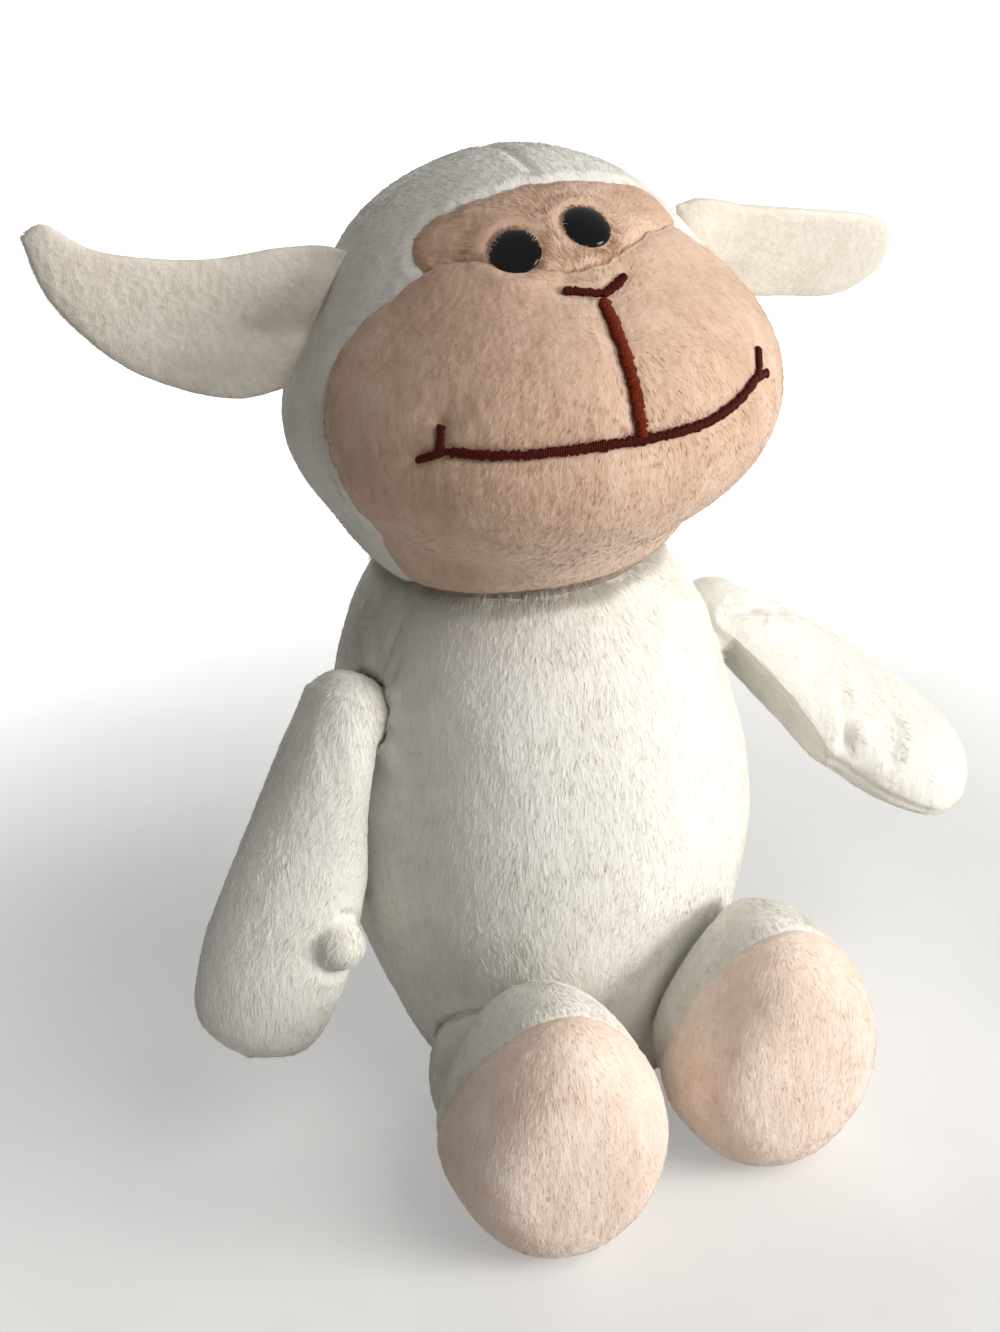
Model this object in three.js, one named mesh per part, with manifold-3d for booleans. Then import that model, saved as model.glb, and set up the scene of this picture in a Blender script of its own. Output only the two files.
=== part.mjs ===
// A sitting plush sheep: sewn plush covers round stuffing, with a tan face and soles, snap-in eyes and an
// embroidered nose, nose line and mouth. The head, arms, legs and ears are sewn on and flop at their seams.
// Millimetres, +Z up. It faces -Y, and the origin is the middle of the flat it sits on.
import * as THREE from 'three';
import { mergeVertices } from 'three/addons/utils/BufferGeometryUtils.js';
import Module from 'manifold-3d';

const wasm = await Module();
wasm.setup();

// Fabric and fits
const COVER = 1.8; // plush backing with its pile pressed flat
const GAP = 0.3; // between pieces that touch
const THREAD = 0.6; // radius of the doubled sewing thread
const OVERRUN = 150; // how far a cutter runs past what it cuts
const REST_CUT = 0.5; // how deep the stuffing flattens where the toy rests
const MERGE = 0.001; // points closer than this are one point

// Body: a pear that leans back a little and narrows to the neck
const SEAT_RADIUS = 16;
const HAUNCH_RADIUS = 30;
const HAUNCH_LEVEL = 11.5;
const BELLY_RADIUS = 42.5;
const BELLY_LEVEL = 50;
const WAIST_RADIUS = 44;
const WAIST_LEVEL = 71;
const CHEST_RADIUS = 39;
const CHEST_LEVEL = 97;
const NECK_RADIUS = 33;
const NECK_LEVEL = 116;
const BODY_DEPTH_SHARE = 0.94; // of the width, at the belly
const BODY_LEAN = 7; // how far the neck sits behind the seat

// Neck: the head rides on the ball-shaped top of the stuffed body, gathered by a ring of thread
const NECK_BALL_RADIUS = 42;
const NECK_RING_RADIUS = 26.4;
const NECK_THREAD = 0.9; // radius of its heavier thread
const HEAD_TURN = -5; // degrees about +Z, as it flops at rest

// Head: the lumps that its stuffing makes, each a middle and half sizes
const HEAD_MIDDLE = new THREE.Vector3(0, 1, 158);
const HEAD_BLEND = 20; // how sharply one lump gives way to the next
const CRANIUM = { middle: new THREE.Vector3(0, 3, 166), size: new THREE.Vector3(37.5, 37, 34) };
const CHEEKS = { middle: new THREE.Vector3(0, 8, 153), size: new THREE.Vector3(43.5, 35, 29) };
const MUZZLE = { middle: new THREE.Vector3(0, -9, 158.5), size: new THREE.Vector3(44, 38.5, 29.5) };
const JOWL = { middle: new THREE.Vector3(0, 7, 142), size: new THREE.Vector3(36, 33, 30) };
const HEAD_LUMPS = [CRANIUM, CHEEKS, MUZZLE, JOWL];

// Face panels: seams down the right-hand half, in degrees from straight ahead and above level,
// as seen from the head's middle
const MUZZLE_SEAM_DEGREES = [
  [0, 44], [16, 46], [38, 48], [55, 46], [64, 38], [71, 30], [77, 19], [78, 7],
  [76, -5], [76, -20], [75, -36], [64, -49], [37, -56], [12, -59], [0, -59],
];
const BROW_SEAM_DEGREES = [[0, 76], [50, 68], [70, 58], [70, 50], [50, 38], [25, 30], [0, 28]];
const SEAM_STEPS = 32; // points along each panel's seam

// Eyes: glossy domes, each with a post and a washer behind the fabric
const EYE_RADIUS = 4.4;
const EYE_BULGE = 2.8;
const EYE_SPACING = 12.8;
const EYES_MIDDLE = -3; // they are set a little to one side
const EYE_LEVEL = { right: 188.5, left: 190.5 };
const EYE_POST_RADIUS = 1.2;
const EYE_POST_LENGTH = 8;
const WASHER_RADIUS = 4.5;
const WASHER_THICKNESS = 1.2;

// Embroidery: raised satin stitch
const STITCH_RADIUS = 0.8;
const NOSE_HALF_WIDTH = 6;
const NOSE_LEVEL = 182;
const NOSE_RISE = 1.5;
const MOUTH_LEVEL = 162;
const MOUTH_HALF_WIDTH = 31;
const MOUTH_RISE = 1.4;
const MOUTH_TICK = 4.5;
const MOUTH_END = 3.6;
const NOSE_SHARES = [-1, -0.5, 0, 0.5, 1]; // places along it, of its half width
const MOUTH_SHARES = [-1, -0.8, -0.6, -0.4, -0.2, 0, 0.2, 0.4, 0.6, 0.8, 1];
const NOSE_LINE_SHARES = [0, 0.33, 0.67, 1]; // places from the nose down to the mouth

// Ears: two leaves of fabric sewn together round the edge, in shares of the length and of the root's half width
const EAR_LENGTH = 50;
const EAR_ROOT_HALF_WIDTH = 13;
// The right ear's tip hooks up, and the left one's is rounder, as the toy has been handled
const EAR_TOP_SHARES = {
  right: [[0, 1], [0.4, 0.74], [0.75, 0.84], [0.94, 1.18], [1.02, 1]],
  left: [[0, 0.75], [0.4, 1.05], [0.75, 1.2], [0.94, 0.95], [1.02, 0.3]],
};
const EAR_BOTTOM_SHARES = {
  right: [[0, -0.85], [0.3, -1.2], [0.66, -0.85], [0.92, 0.05], [1.02, 1]],
  left: [[0, -0.6], [0.3, -0.65], [0.66, -0.5], [0.92, -0.25], [1.02, 0.3]],
};
const EAR_ROUNDING_SHARE = 0.12; // of the length, at the root
const EAR_THICKNESS = 4.4;
const EAR_CUP = 5; // how far the edges curl forward
const EAR_ROOT_LEVEL = 176;
const EAR_ROOT_BACK = 5; // behind the head's middle
const EAR_SWEEP = { right: 16, left: 9 }; // degrees back from straight out
const EAR_LIFT = { right: 5, left: -20 }; // degrees above level
const EAR_TWIST = { right: 0, left: 28 }; // degrees, top edge forward
const EAR_SWING = 30; // degrees that it flops forward and back

// Arms: flat mittens on a ball-shaped root, in shares of their half width and length
const SHOULDER = new THREE.Vector3(42, 2, 99);
const SHOULDER_DROP = { right: 0, left: 4 }; // one arm is sewn on a little lower
const SHOULDER_BALL_RADIUS = 9;
const ARM_LENGTH = 73.5;
const ARM_HALF_WIDTH = 15;
const ARM_HALF_THICKNESS = 9;
const ARM_OUTLINE_SHARES = [
  [0, 0], [0.6, 0], [0.74, 0.2], [0.88, 0.45], [1, 0.7], [0.78, 0.92], [0, 1],
];
const ARM_ROUND_SHARE = 0.4; // of its length, over which it goes from round to flat
const ARM_LIFT = { right: 25, left: 44 }; // degrees out from straight down
const ARM_SWING = { right: 5, left: 27 }; // degrees forward
const ARM_TWIST = { right: -30, left: 28 }; // degrees about the arm
const ARM_CLOSEST = 25; // degrees out from straight down, where it lies against the body
const ARM_SWINGS = [-30, -10, 10, 30]; // degrees from rest at which it is cut clear of the body
const THUMB_RADIUS = 5;
const THUMB_SHARES = [0.75, 0.5, 0.64]; // of the arm's half width, half thickness and length

// Legs: a ball-shaped hip that swells into an upright foot with a tan sole
const HIP = new THREE.Vector3(23.5, -24, 21);
const HIP_BALL_RADIUS = 18;
const FOOT_HALF_WIDTH = 22;
const FOOT_HALF_HEIGHT = 28.5;
const FOOT_BACK = 33; // in front of the origin
const FOOT_REACH = 66;
const FOOT_OUTLINE_SHARES = [[0, 0], [0.7, 0], [0.94, 0.22], [1, 0.5], [0.9, 0.78], [0.6, 0.96], [0, 1]];
const FOOT_TAPER_SHARE = 0.2; // how much narrower the foot's top is than its middle
const SOLE_SEAM_REACH = 46;
const SOLE_SEAM_TILT = 18; // degrees, top edge forward
const FOOT_YAW = { right: -12, left: -6 }; // degrees about +Z
const LEG_SWING = { down: 35, up: 6 }; // degrees that it flops
const LEG_CLEARANCES = 3; // steps of that swing at which it is cut clear of the body

// How far the openings at the roots of the limbs reach, of the root's ball
const OPENING_SHARE = 0.55;

const SIDES = { right: -1, left: 1 };
const radians = THREE.MathUtils.degToRad;
const vector = (x, y, z) => new THREE.Vector3(x, y, z);

// The heights of a right triangle's legs, for places on balls
const legOf = (long, short) => Math.sqrt(long ** 2 - short ** 2);
const NECK_PIVOT = vector(0, BODY_LEAN, NECK_LEVEL - legOf(NECK_BALL_RADIUS, NECK_RADIUS));

// A closed geometry that holds only positions, without collapsed faces
function closed(geometry) {
  const bare = geometry.clone();
  bare.deleteAttribute('normal');
  bare.deleteAttribute('uv');
  const merged = mergeVertices(bare, MERGE);
  const corners = merged.index.array;
  const kept = [];
  for (let i = 0; i < corners.length; i += 3) {
    const [a, b, c] = corners.slice(i, i + 3);
    if (a !== b && b !== c && c !== a) kept.push(a, b, c);
  }
  return merged.setIndex(kept);
}

function signedVolume(geometry) {
  const { position } = geometry.attributes;
  const corners = geometry.index.array;
  const [a, b, c] = [vector(), vector(), vector()];
  let volume = 0;
  for (let i = 0; i < corners.length; i += 3) {
    a.fromBufferAttribute(position, corners[i]);
    b.fromBufferAttribute(position, corners[i + 1]);
    c.fromBufferAttribute(position, corners[i + 2]);
    volume += a.dot(b.cross(c)) / 6;
  }
  return volume;
}

// A solid that can be cut and joined, with its faces turned out
function solidOf(geometry) {
  const shape = closed(geometry);
  const triVerts = Uint32Array.from(shape.index.array);
  if (signedVolume(shape) < 0) triVerts.reverse();
  const vertProperties = shape.attributes.position.array;
  return new wasm.Manifold(new wasm.Mesh({ numProp: 3, vertProperties, triVerts }));
}

function geometryOf(solid) {
  const { vertProperties, triVerts } = solid.getMesh();
  const geometry = new THREE.BufferGeometry();
  geometry.setAttribute('position', new THREE.BufferAttribute(vertProperties, 3));
  geometry.setIndex(new THREE.BufferAttribute(triVerts, 1));
  return geometry;
}

// A geometry with every point moved by a function
function moved(geometry, move) {
  const { position } = geometry.attributes;
  const point = vector();
  for (let i = 0; i < position.count; i++) {
    move(point.fromBufferAttribute(position, i));
    position.setXYZ(i, point.x, point.y, point.z);
  }
  return geometry;
}

function placed(solid, matrix) {
  return solidOf(moved(geometryOf(solid), (point) => point.applyMatrix4(matrix)));
}

// A soft closed form: a sphere's grid, moved to pointAt(angle, share from one end to the other)
function softForm(around, along, pointAt) {
  const form = new THREE.SphereGeometry(1, around, along);
  const { position, uv } = form.attributes;
  for (let i = 0; i < position.count; i++) {
    const point = pointAt(uv.getX(i) * 2 * Math.PI, uv.getY(i));
    position.setXYZ(i, point.x, point.y, point.z);
  }
  return solidOf(form);
}

function ball(middle, radius, around) {
  const sphere = new THREE.SphereGeometry(radius, around, around / 2);
  sphere.rotateX(Math.PI / 2);
  sphere.translate(middle.x, middle.y, middle.z);
  return solidOf(sphere);
}

// A ball that cuts: the middles of its facets, not its corners, reach the radius
function ballCutter(middle, radius, around) {
  return ball(middle, radius / Math.cos(Math.PI / around) ** 2, around);
}

// A turn that takes a geometry's own axis to a direction
const turnTo = (own, direction) => new THREE.Quaternion().setFromUnitVectors(own, direction);

// A rod from a point along a direction
function rod(from, direction, radius, length, around = 16) {
  const cylinder = new THREE.CylinderGeometry(radius, radius, length, around);
  cylinder.translate(0, length / 2, 0);
  cylinder.applyQuaternion(turnTo(vector(0, 1, 0), direction));
  cylinder.translate(from.x, from.y, from.z);
  return solidOf(cylinder);
}

// Everything on the side of a plane that its normal points to, as far as the overrun
function halfSpace(point, normal) {
  const box = new THREE.BoxGeometry(2 * OVERRUN, 2 * OVERRUN, 2 * OVERRUN);
  box.translate(0, 0, OVERRUN);
  box.applyQuaternion(turnTo(vector(0, 0, 1), normal));
  box.translate(point.x, point.y, point.z);
  return solidOf(box);
}

// A ring of thread round an axis, or the groove that it lies in
function threadRing(middle, axis, radius, thickness, around) {
  const torus = new THREE.TorusGeometry(radius, thickness, 5, around);
  torus.applyQuaternion(turnTo(vector(0, 0, 1), axis));
  torus.translate(middle.x, middle.y, middle.z);
  return solidOf(torus);
}

// A profile through (radius, level) points, drawn in by an inset, that stays closed at both ends
function insetProfile(points, inset) {
  const corners = points.map(([radius, level]) => new THREE.Vector2(radius, level));
  const outline = new THREE.SplineCurve(corners);
  return (share) => {
    const point = outline.getPointAt(share);
    const along = outline.getTangentAt(share);
    const onAxis = share === 0 || share === 1;
    const radius = onAxis ? 0 : Math.max(point.x - along.y * inset, 0);
    return { radius, level: point.y + along.x * inset };
  };
}

// Shares of a width and of a height, made into points
const scaled = (shares, width, height) => shares.map(([across, up]) => [across * width, up * height]);

const floor = halfSpace(vector(0, 0, 0), vector(0, 0, -1));

// The body's outer form, or its inner one by an inset: the pear under the dome of the neck's ball
function bodyForm(around, along, inset) {
  const top = NECK_PIVOT.z + NECK_BALL_RADIUS;
  const profile = insetProfile([
    [0, -REST_CUT],
    [SEAT_RADIUS, -REST_CUT],
    [HAUNCH_RADIUS, HAUNCH_LEVEL],
    [BELLY_RADIUS, BELLY_LEVEL],
    [WAIST_RADIUS, WAIST_LEVEL],
    [CHEST_RADIUS, CHEST_LEVEL],
    [NECK_RADIUS, NECK_LEVEL],
    [NECK_RADIUS, top],
    [0, top + COVER],
  ], inset);
  const pear = softForm(around, along, (angle, share) => {
    const { radius, level } = profile(share);
    const rise = THREE.MathUtils.smoothstep(level, BELLY_LEVEL, NECK_LEVEL);
    const depth = THREE.MathUtils.lerp(BODY_DEPTH_SHARE, 1, rise);
    const lean = BODY_LEAN * Math.max(level, 0) / NECK_LEVEL;
    return vector(radius * Math.cos(angle), radius * Math.sin(angle) * depth + lean, level);
  });
  const neck = ball(NECK_PIVOT, NECK_BALL_RADIUS - inset, around);
  return pear.subtract(halfSpace(NECK_PIVOT, vector(0, 0, 1)).subtract(neck));
}

const shoulderAt = (side) => vector(SIDES[side] * SHOULDER.x, SHOULDER.y, SHOULDER.z - SHOULDER_DROP[side]);
const hipAt = (side) => vector(SIDES[side] * HIP.x, HIP.y, HIP.z);

function neckThread() {
  const middle = NECK_PIVOT.clone();
  middle.z += legOf(NECK_BALL_RADIUS - NECK_THREAD, NECK_RING_RADIUS);
  return threadRing(middle, vector(0, 0, 1), NECK_RING_RADIUS, NECK_THREAD, 24);
}

// The ring of stitches round an arm's root, on the body's side of it
function shoulderThread(side, clearance = 0) {
  const reach = SHOULDER_BALL_RADIUS + GAP + THREAD;
  const radius = SHOULDER_BALL_RADIUS * OPENING_SHARE;
  const middle = shoulderAt(side);
  middle.x -= SIDES[side] * legOf(reach, radius);
  return threadRing(middle, vector(1, 0, 0), radius, THREAD + clearance, 16);
}

// What the limbs' roots and the threads take out of the body
function bodySockets() {
  let sockets = floor;
  for (const side of Object.keys(SIDES)) {
    sockets = sockets.add(ballCutter(shoulderAt(side), SHOULDER_BALL_RADIUS + GAP, 16));
    sockets = sockets.add(shoulderThread(side, GAP));
    sockets = sockets.add(ballCutter(hipAt(side), HIP_BALL_RADIUS + GAP, 20));
  }
  return sockets;
}

// How far the head reaches from its middle in a direction, as a soft blend of its lumps
function headReach(direction) {
  let sum = 0;
  for (const { middle, size } of HEAD_LUMPS) {
    const step = direction.clone().divide(size);
    const start = HEAD_MIDDLE.clone().sub(middle).divide(size);
    const [a, b, c] = [step.dot(step), step.dot(start), start.dot(start) - 1];
    sum += ((Math.sqrt(b * b - a * c) - b) / a) ** HEAD_BLEND;
  }
  return sum ** (1 / HEAD_BLEND);
}

function headForm(around, along, inset) {
  return softForm(around, along, (angle, share) => {
    const tilt = Math.PI * share;
    const level = Math.sin(tilt);
    const direction = vector(level * Math.cos(angle), level * Math.sin(angle), -Math.cos(tilt));
    const reach = headReach(direction) - inset;
    return direction.multiplyScalar(reach).add(HEAD_MIDDLE);
  });
}

// How far a point lies outside the head
function outsideHead(point) {
  const out = point.clone().sub(HEAD_MIDDLE);
  return out.length() - headReach(out.clone().normalize());
}

function headNormal(point) {
  const slope = (x, y, z) => {
    const step = vector(x, y, z).multiplyScalar(GAP);
    return outsideHead(point.clone().add(step)) - outsideHead(point.clone().sub(step));
  };
  return vector(slope(1, 0, 0), slope(0, 1, 0), slope(0, 0, 1)).normalize();
}

// Where a line from a point inside the head comes out, lifted off the surface
function headPoint(from, direction, lift = 0) {
  let [near, far] = [0, OVERRUN];
  const point = vector();
  while (far - near > MERGE) {
    const reach = (near + far) / 2;
    point.copy(from).addScaledVector(direction, reach);
    if (outsideHead(point) > 0) far = reach;
    else near = reach;
  }
  return point.addScaledVector(headNormal(point), lift);
}

// The face's point that shows at (x, z) from the front
function facePoint(x, z, lift) {
  return headPoint(vector(x, HEAD_MIDDLE.y, z), vector(0, -1, 0), lift);
}

// A direction, in degrees from straight ahead and above level
function facing([aside, above]) {
  const [turn, rise] = [radians(aside), radians(above)];
  return vector(Math.sin(turn) * Math.cos(rise), -Math.cos(turn) * Math.cos(rise), Math.sin(rise));
}

// A cone from the head's middle through a panel's seam, which cuts the panel squarely out of the cover
function panelCone(half, margin) {
  const mirrored = half.slice(1, -1).reverse().map(([aside, above]) => [-aside, above]);
  const points = [...half, ...mirrored].map((angles) => headPoint(HEAD_MIDDLE, facing(angles)));
  const seam = new THREE.CatmullRomCurve3(points, true);
  const centre = headPoint(HEAD_MIDDLE, facing([0, (half[0][1] + half.at(-1)[1]) / 2]));
  const cone = new THREE.CylinderGeometry(1, 1, 1, SEAM_STEPS);
  return solidOf(moved(cone, (point) => {
    const share = (Math.atan2(point.x, point.z) / (2 * Math.PI) + 1) % 1;
    const onSeam = point.x !== 0 || point.z !== 0;
    const target = onSeam ? seam.getPoint(share) : centre.clone();
    if (onSeam) target.addScaledVector(target.clone().sub(centre).normalize(), margin);
    target.sub(HEAD_MIDDLE).setLength(point.y > 0 ? OVERRUN : JOWL.size.z / 2);
    point.copy(target).add(HEAD_MIDDLE);
  }));
}

// Eyes: turned domes on posts, set square to the face, with a washer behind the cover
function eyeMatrix(side) {
  const seat = facePoint(EYES_MIDDLE + SIDES[side] * EYE_SPACING / 2, EYE_LEVEL[side]);
  const normal = headNormal(seat);
  const turn = turnTo(vector(0, 1, 0), normal);
  return new THREE.Matrix4().compose(seat.addScaledVector(normal, GAP), turn, vector(1, 1, 1));
}

function eyeForm() {
  const dome = new THREE.EllipseCurve(0, 0, EYE_RADIUS, EYE_BULGE, 0, Math.PI / 2).getPoints(5);
  const profile = [
    new THREE.Vector2(0, -EYE_POST_LENGTH),
    new THREE.Vector2(EYE_POST_RADIUS, -EYE_POST_LENGTH),
    new THREE.Vector2(EYE_POST_RADIUS, 0),
    ...dome.slice(0, -1),
    new THREE.Vector2(0, EYE_BULGE),
  ];
  return solidOf(new THREE.LatheGeometry(profile, 14));
}

const washerTop = -COVER - 4 * GAP;

function washerForm() {
  const hole = EYE_POST_RADIUS + GAP;
  const low = washerTop - WASHER_THICKNESS;
  const edges = [[hole, low], [WASHER_RADIUS, low], [WASHER_RADIUS, washerTop], [hole, washerTop]];
  const profile = [...edges, edges[0]].map(([x, y]) => new THREE.Vector2(x, y));
  return solidOf(new THREE.LatheGeometry(profile, 12));
}

// The hole that an eye's post needs in the cover, or its washer in the stuffing
function eyeHole(side, radius) {
  const from = vector(0, -EYE_POST_LENGTH - GAP, 0);
  return placed(rod(from, vector(0, 1, 0), radius + GAP, OVERRUN, 12), eyeMatrix(side));
}

// Embroidery: a round cord of thread laid along points of the face
function stitch(points) {
  const lift = STITCH_RADIUS + GAP;
  const path = new THREE.CatmullRomCurve3(points.map(([x, z]) => facePoint(x, z, lift)));
  const section = new THREE.Shape().absarc(0, 0, STITCH_RADIUS, 0, 2 * Math.PI);
  const steps = Math.max(3, Math.round(path.getLength() / (6 * STITCH_RADIUS)));
  const options = { steps, curveSegments: 3, bevelEnabled: false, extrudePath: path };
  return solidOf(new THREE.ExtrudeGeometry(section, options));
}

function noseStitch() {
  const point = (share) => [share * NOSE_HALF_WIDTH, NOSE_LEVEL + NOSE_RISE * Math.abs(share)];
  return stitch(NOSE_SHARES.map(point));
}

function mouthStitch() {
  const onMouth = (share) => [share * MOUTH_HALF_WIDTH, MOUTH_LEVEL + MOUTH_RISE * share ** 4];
  const top = NOSE_LEVEL - 3 * STITCH_RADIUS;
  const underNose = (share) => [0, THREE.MathUtils.lerp(top, MOUTH_LEVEL, share)];
  let mouth = stitch(MOUTH_SHARES.map(onMouth)).add(stitch(NOSE_LINE_SHARES.map(underNose)));
  for (const sign of Object.values(SIDES)) {
    const [x, z] = [sign * MOUTH_HALF_WIDTH, MOUTH_LEVEL + MOUTH_RISE];
    const tick = [[x, z - STITCH_RADIUS], [x, z + MOUTH_TICK / 2], [x, z + MOUTH_TICK]];
    const past = (length) => [x + sign * length, z - length / 2];
    const end = [[x - sign * STITCH_RADIUS, z], past(MOUTH_END / 2), past(MOUTH_END)];
    mouth = mouth.add(stitch(tick)).add(stitch(end));
  }
  return mouth;
}

// Ears: a leaf along +X with its broad side to the front, rounded at the root
function earForm(side) {
  const edge = (shares) => new THREE.SplineCurve(
    scaled(shares, EAR_LENGTH, EAR_ROOT_HALF_WIDTH).map(([x, y]) => new THREE.Vector2(x, y)),
  );
  const [top, bottom] = [edge(EAR_TOP_SHARES[side]), edge(EAR_BOTTOM_SHARES[side])];
  return softForm(16, 12, (angle, share) => {
    const [high, low] = [top.getPointAt(share), bottom.getPointAt(share)];
    const middle = high.clone().add(low).divideScalar(2);
    const half = high.clone().sub(low).divideScalar(2);
    const rounding = Math.min(share / EAR_ROUNDING_SHARE, 1);
    const spread = Math.sqrt(rounding * (2 - rounding));
    const thick = Math.sin(angle) * spread * Math.sqrt(1 - share ** 3) * EAR_THICKNESS / 2;
    const across = Math.cos(angle) * (share === 0 ? 0 : 1);
    return vector(middle.x + half.x * across, thick, middle.y + half.y * across);
  });
}

// The cup of an ear: its edges curl forward between root and tip
function cupped(point) {
  const outward = THREE.MathUtils.clamp(point.x / EAR_LENGTH, 0, 1);
  const aside = point.z / EAR_ROOT_HALF_WIDTH;
  point.y -= EAR_CUP * aside ** 2 * outward * (1 - outward);
}

function earMatrix(side) {
  const sign = SIDES[side];
  const from = vector(0, HEAD_MIDDLE.y + EAR_ROOT_BACK, EAR_ROOT_LEVEL);
  const root = headPoint(from, vector(sign, 0, 0), GAP);
  const matrix = new THREE.Matrix4().makeTranslation(root.x, root.y, root.z);
  matrix.multiply(new THREE.Matrix4().makeRotationZ(radians(EAR_SWEEP[side]) * sign));
  matrix.multiply(new THREE.Matrix4().makeRotationY(-radians(EAR_LIFT[side]) * sign));
  matrix.multiply(new THREE.Matrix4().makeRotationX(radians(EAR_TWIST[side])));
  return matrix.multiply(new THREE.Matrix4().makeScale(sign, 1, 1));
}

// The head's room as an ear needs it, flopped forward and back about its root as well as at rest
function earClearance(side) {
  const matrix = earMatrix(side);
  const head = placed(headForm(24, 16, -2 * GAP), matrix.clone().invert());
  let clearance = head;
  for (const angle of [-EAR_SWING, EAR_SWING]) {
    const pin = vector(EAR_THICKNESS / 2, 0, 0);
    const turned = new THREE.Matrix4().makeTranslation(pin.x, pin.y, pin.z);
    turned.multiply(new THREE.Matrix4().makeRotationZ(radians(angle)));
    turned.multiply(new THREE.Matrix4().makeTranslation(-pin.x, -pin.y, -pin.z));
    clearance = clearance.add(placed(head, turned));
  }
  return placed(clearance, matrix);
}

// One fabric leaf of an ear: its front (-1) or its back (1)
function earLeaf(side, face, clearance) {
  const half = halfSpace(vector(0, face * GAP / 2, 0), vector(0, face, 0));
  const leaf = geometryOf(earForm(side).intersect(half));
  return placed(solidOf(moved(leaf, cupped)), earMatrix(side)).subtract(clearance);
}

// The place and turn of an arm, from its swing forward and its lift out from straight down
function armMatrix(side, swing, lift) {
  const sign = SIDES[side];
  const root = shoulderAt(side);
  const matrix = new THREE.Matrix4().makeTranslation(root.x, root.y, root.z);
  matrix.multiply(new THREE.Matrix4().makeRotationX(-radians(swing)));
  matrix.multiply(new THREE.Matrix4().makeRotationY(-sign * radians(lift)));
  return matrix.multiply(new THREE.Matrix4().makeRotationZ(radians(ARM_TWIST[side])));
}

// The body's room as an arm needs it when it swings against the body's side
function armClearance(side, inset) {
  const body = bodyForm(24, 13, -3 * GAP - inset);
  const poses = ARM_SWINGS.map((swing) => armMatrix(side, ARM_SWING[side] + swing, ARM_CLOSEST));
  poses.push(armMatrix(side, ARM_SWING[side], ARM_LIFT[side]));
  return wasm.Manifold.union(poses.map((pose) => placed(body, pose.invert())));
}

// An arm hanging from the origin: a mitten with a thumb that flattens away from its ball-shaped root
function armForm(around, along, inset, side) {
  const sign = SIDES[side];
  const profile = insetProfile(scaled(ARM_OUTLINE_SHARES, ARM_HALF_WIDTH, ARM_LENGTH), inset);
  const flat = (ARM_HALF_THICKNESS - inset) / (ARM_HALF_WIDTH - inset);
  const mitten = softForm(around, along, (angle, share) => {
    const { radius, level } = profile(share);
    const away = THREE.MathUtils.smoothstep(level, 0, ARM_LENGTH * ARM_ROUND_SHARE);
    const thick = radius * THREE.MathUtils.lerp(1, flat, away);
    return vector(radius * Math.cos(angle), thick * Math.sin(angle), -level);
  });
  const [across, forward, down] = THUMB_SHARES;
  const thumbAt = vector(-sign * ARM_HALF_WIDTH * across, -ARM_HALF_THICKNESS * forward, -ARM_LENGTH * down);
  const thumb = ball(thumbAt, THUMB_RADIUS - inset, 10);
  const root = ball(vector(0, 0, 0), SHOULDER_BALL_RADIUS - inset, 16);
  return mitten.add(thumb).subtract(armClearance(side, inset)).add(root);
}

// A turn about an axis through the hip
function hipTurn(side, rotation) {
  const hip = hipAt(side);
  const matrix = new THREE.Matrix4().makeTranslation(hip.x, hip.y, hip.z);
  return matrix.multiply(rotation).multiply(new THREE.Matrix4().makeTranslation(-hip.x, -hip.y, -hip.z));
}

// The foot, standing on its heel, in front of the body
function footForm(around, along, inset, side) {
  const outline = scaled(FOOT_OUTLINE_SHARES, FOOT_HALF_WIDTH, FOOT_REACH - FOOT_BACK);
  const profile = insetProfile(outline, inset);
  const tall = (FOOT_HALF_HEIGHT - inset) / (FOOT_HALF_WIDTH - inset);
  const yaw = hipTurn(side, new THREE.Matrix4().makeRotationZ(radians(FOOT_YAW[side])));
  return softForm(around, along, (angle, share) => {
    const { radius, level } = profile(share);
    const taper = 1 - FOOT_TAPER_SHARE * Math.max(Math.sin(angle), 0);
    const [x, y] = [hipAt(side).x + radius * Math.cos(angle) * taper, -FOOT_BACK - level];
    return vector(x, y, FOOT_HALF_HEIGHT - REST_CUT + radius * tall * Math.sin(angle)).applyMatrix4(yaw);
  });
}

// The body's room as a leg needs it at each step of its swing
function legClearance(side, inset) {
  const body = bodyForm(24, 13, -2 * GAP - inset);
  const rooms = [body];
  for (let step = 0; step <= LEG_CLEARANCES; step++) {
    const angle = THREE.MathUtils.lerp(-LEG_SWING.down, LEG_SWING.up, step / LEG_CLEARANCES);
    rooms.push(placed(body, hipTurn(side, new THREE.Matrix4().makeRotationX(radians(angle)))));
  }
  return wasm.Manifold.union(rooms);
}

function legForm(around, along, inset, side) {
  const foot = footForm(around, along, inset, side).subtract(legClearance(side, inset));
  return foot.add(ball(hipAt(side), HIP_BALL_RADIUS - inset, 20));
}

// What lies in front of the sole's seam, less a margin
function inFrontOfSeam(side, margin) {
  const tilt = radians(SOLE_SEAM_TILT);
  const normal = vector(0, -Math.cos(tilt), -Math.sin(tilt));
  const point = vector(hipAt(side).x, -SOLE_SEAM_REACH, FOOT_HALF_HEIGHT).addScaledVector(normal, margin);
  const yaw = hipTurn(side, new THREE.Matrix4().makeRotationZ(radians(FOOT_YAW[side])));
  return placed(halfSpace(point, normal), yaw);
}

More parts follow.
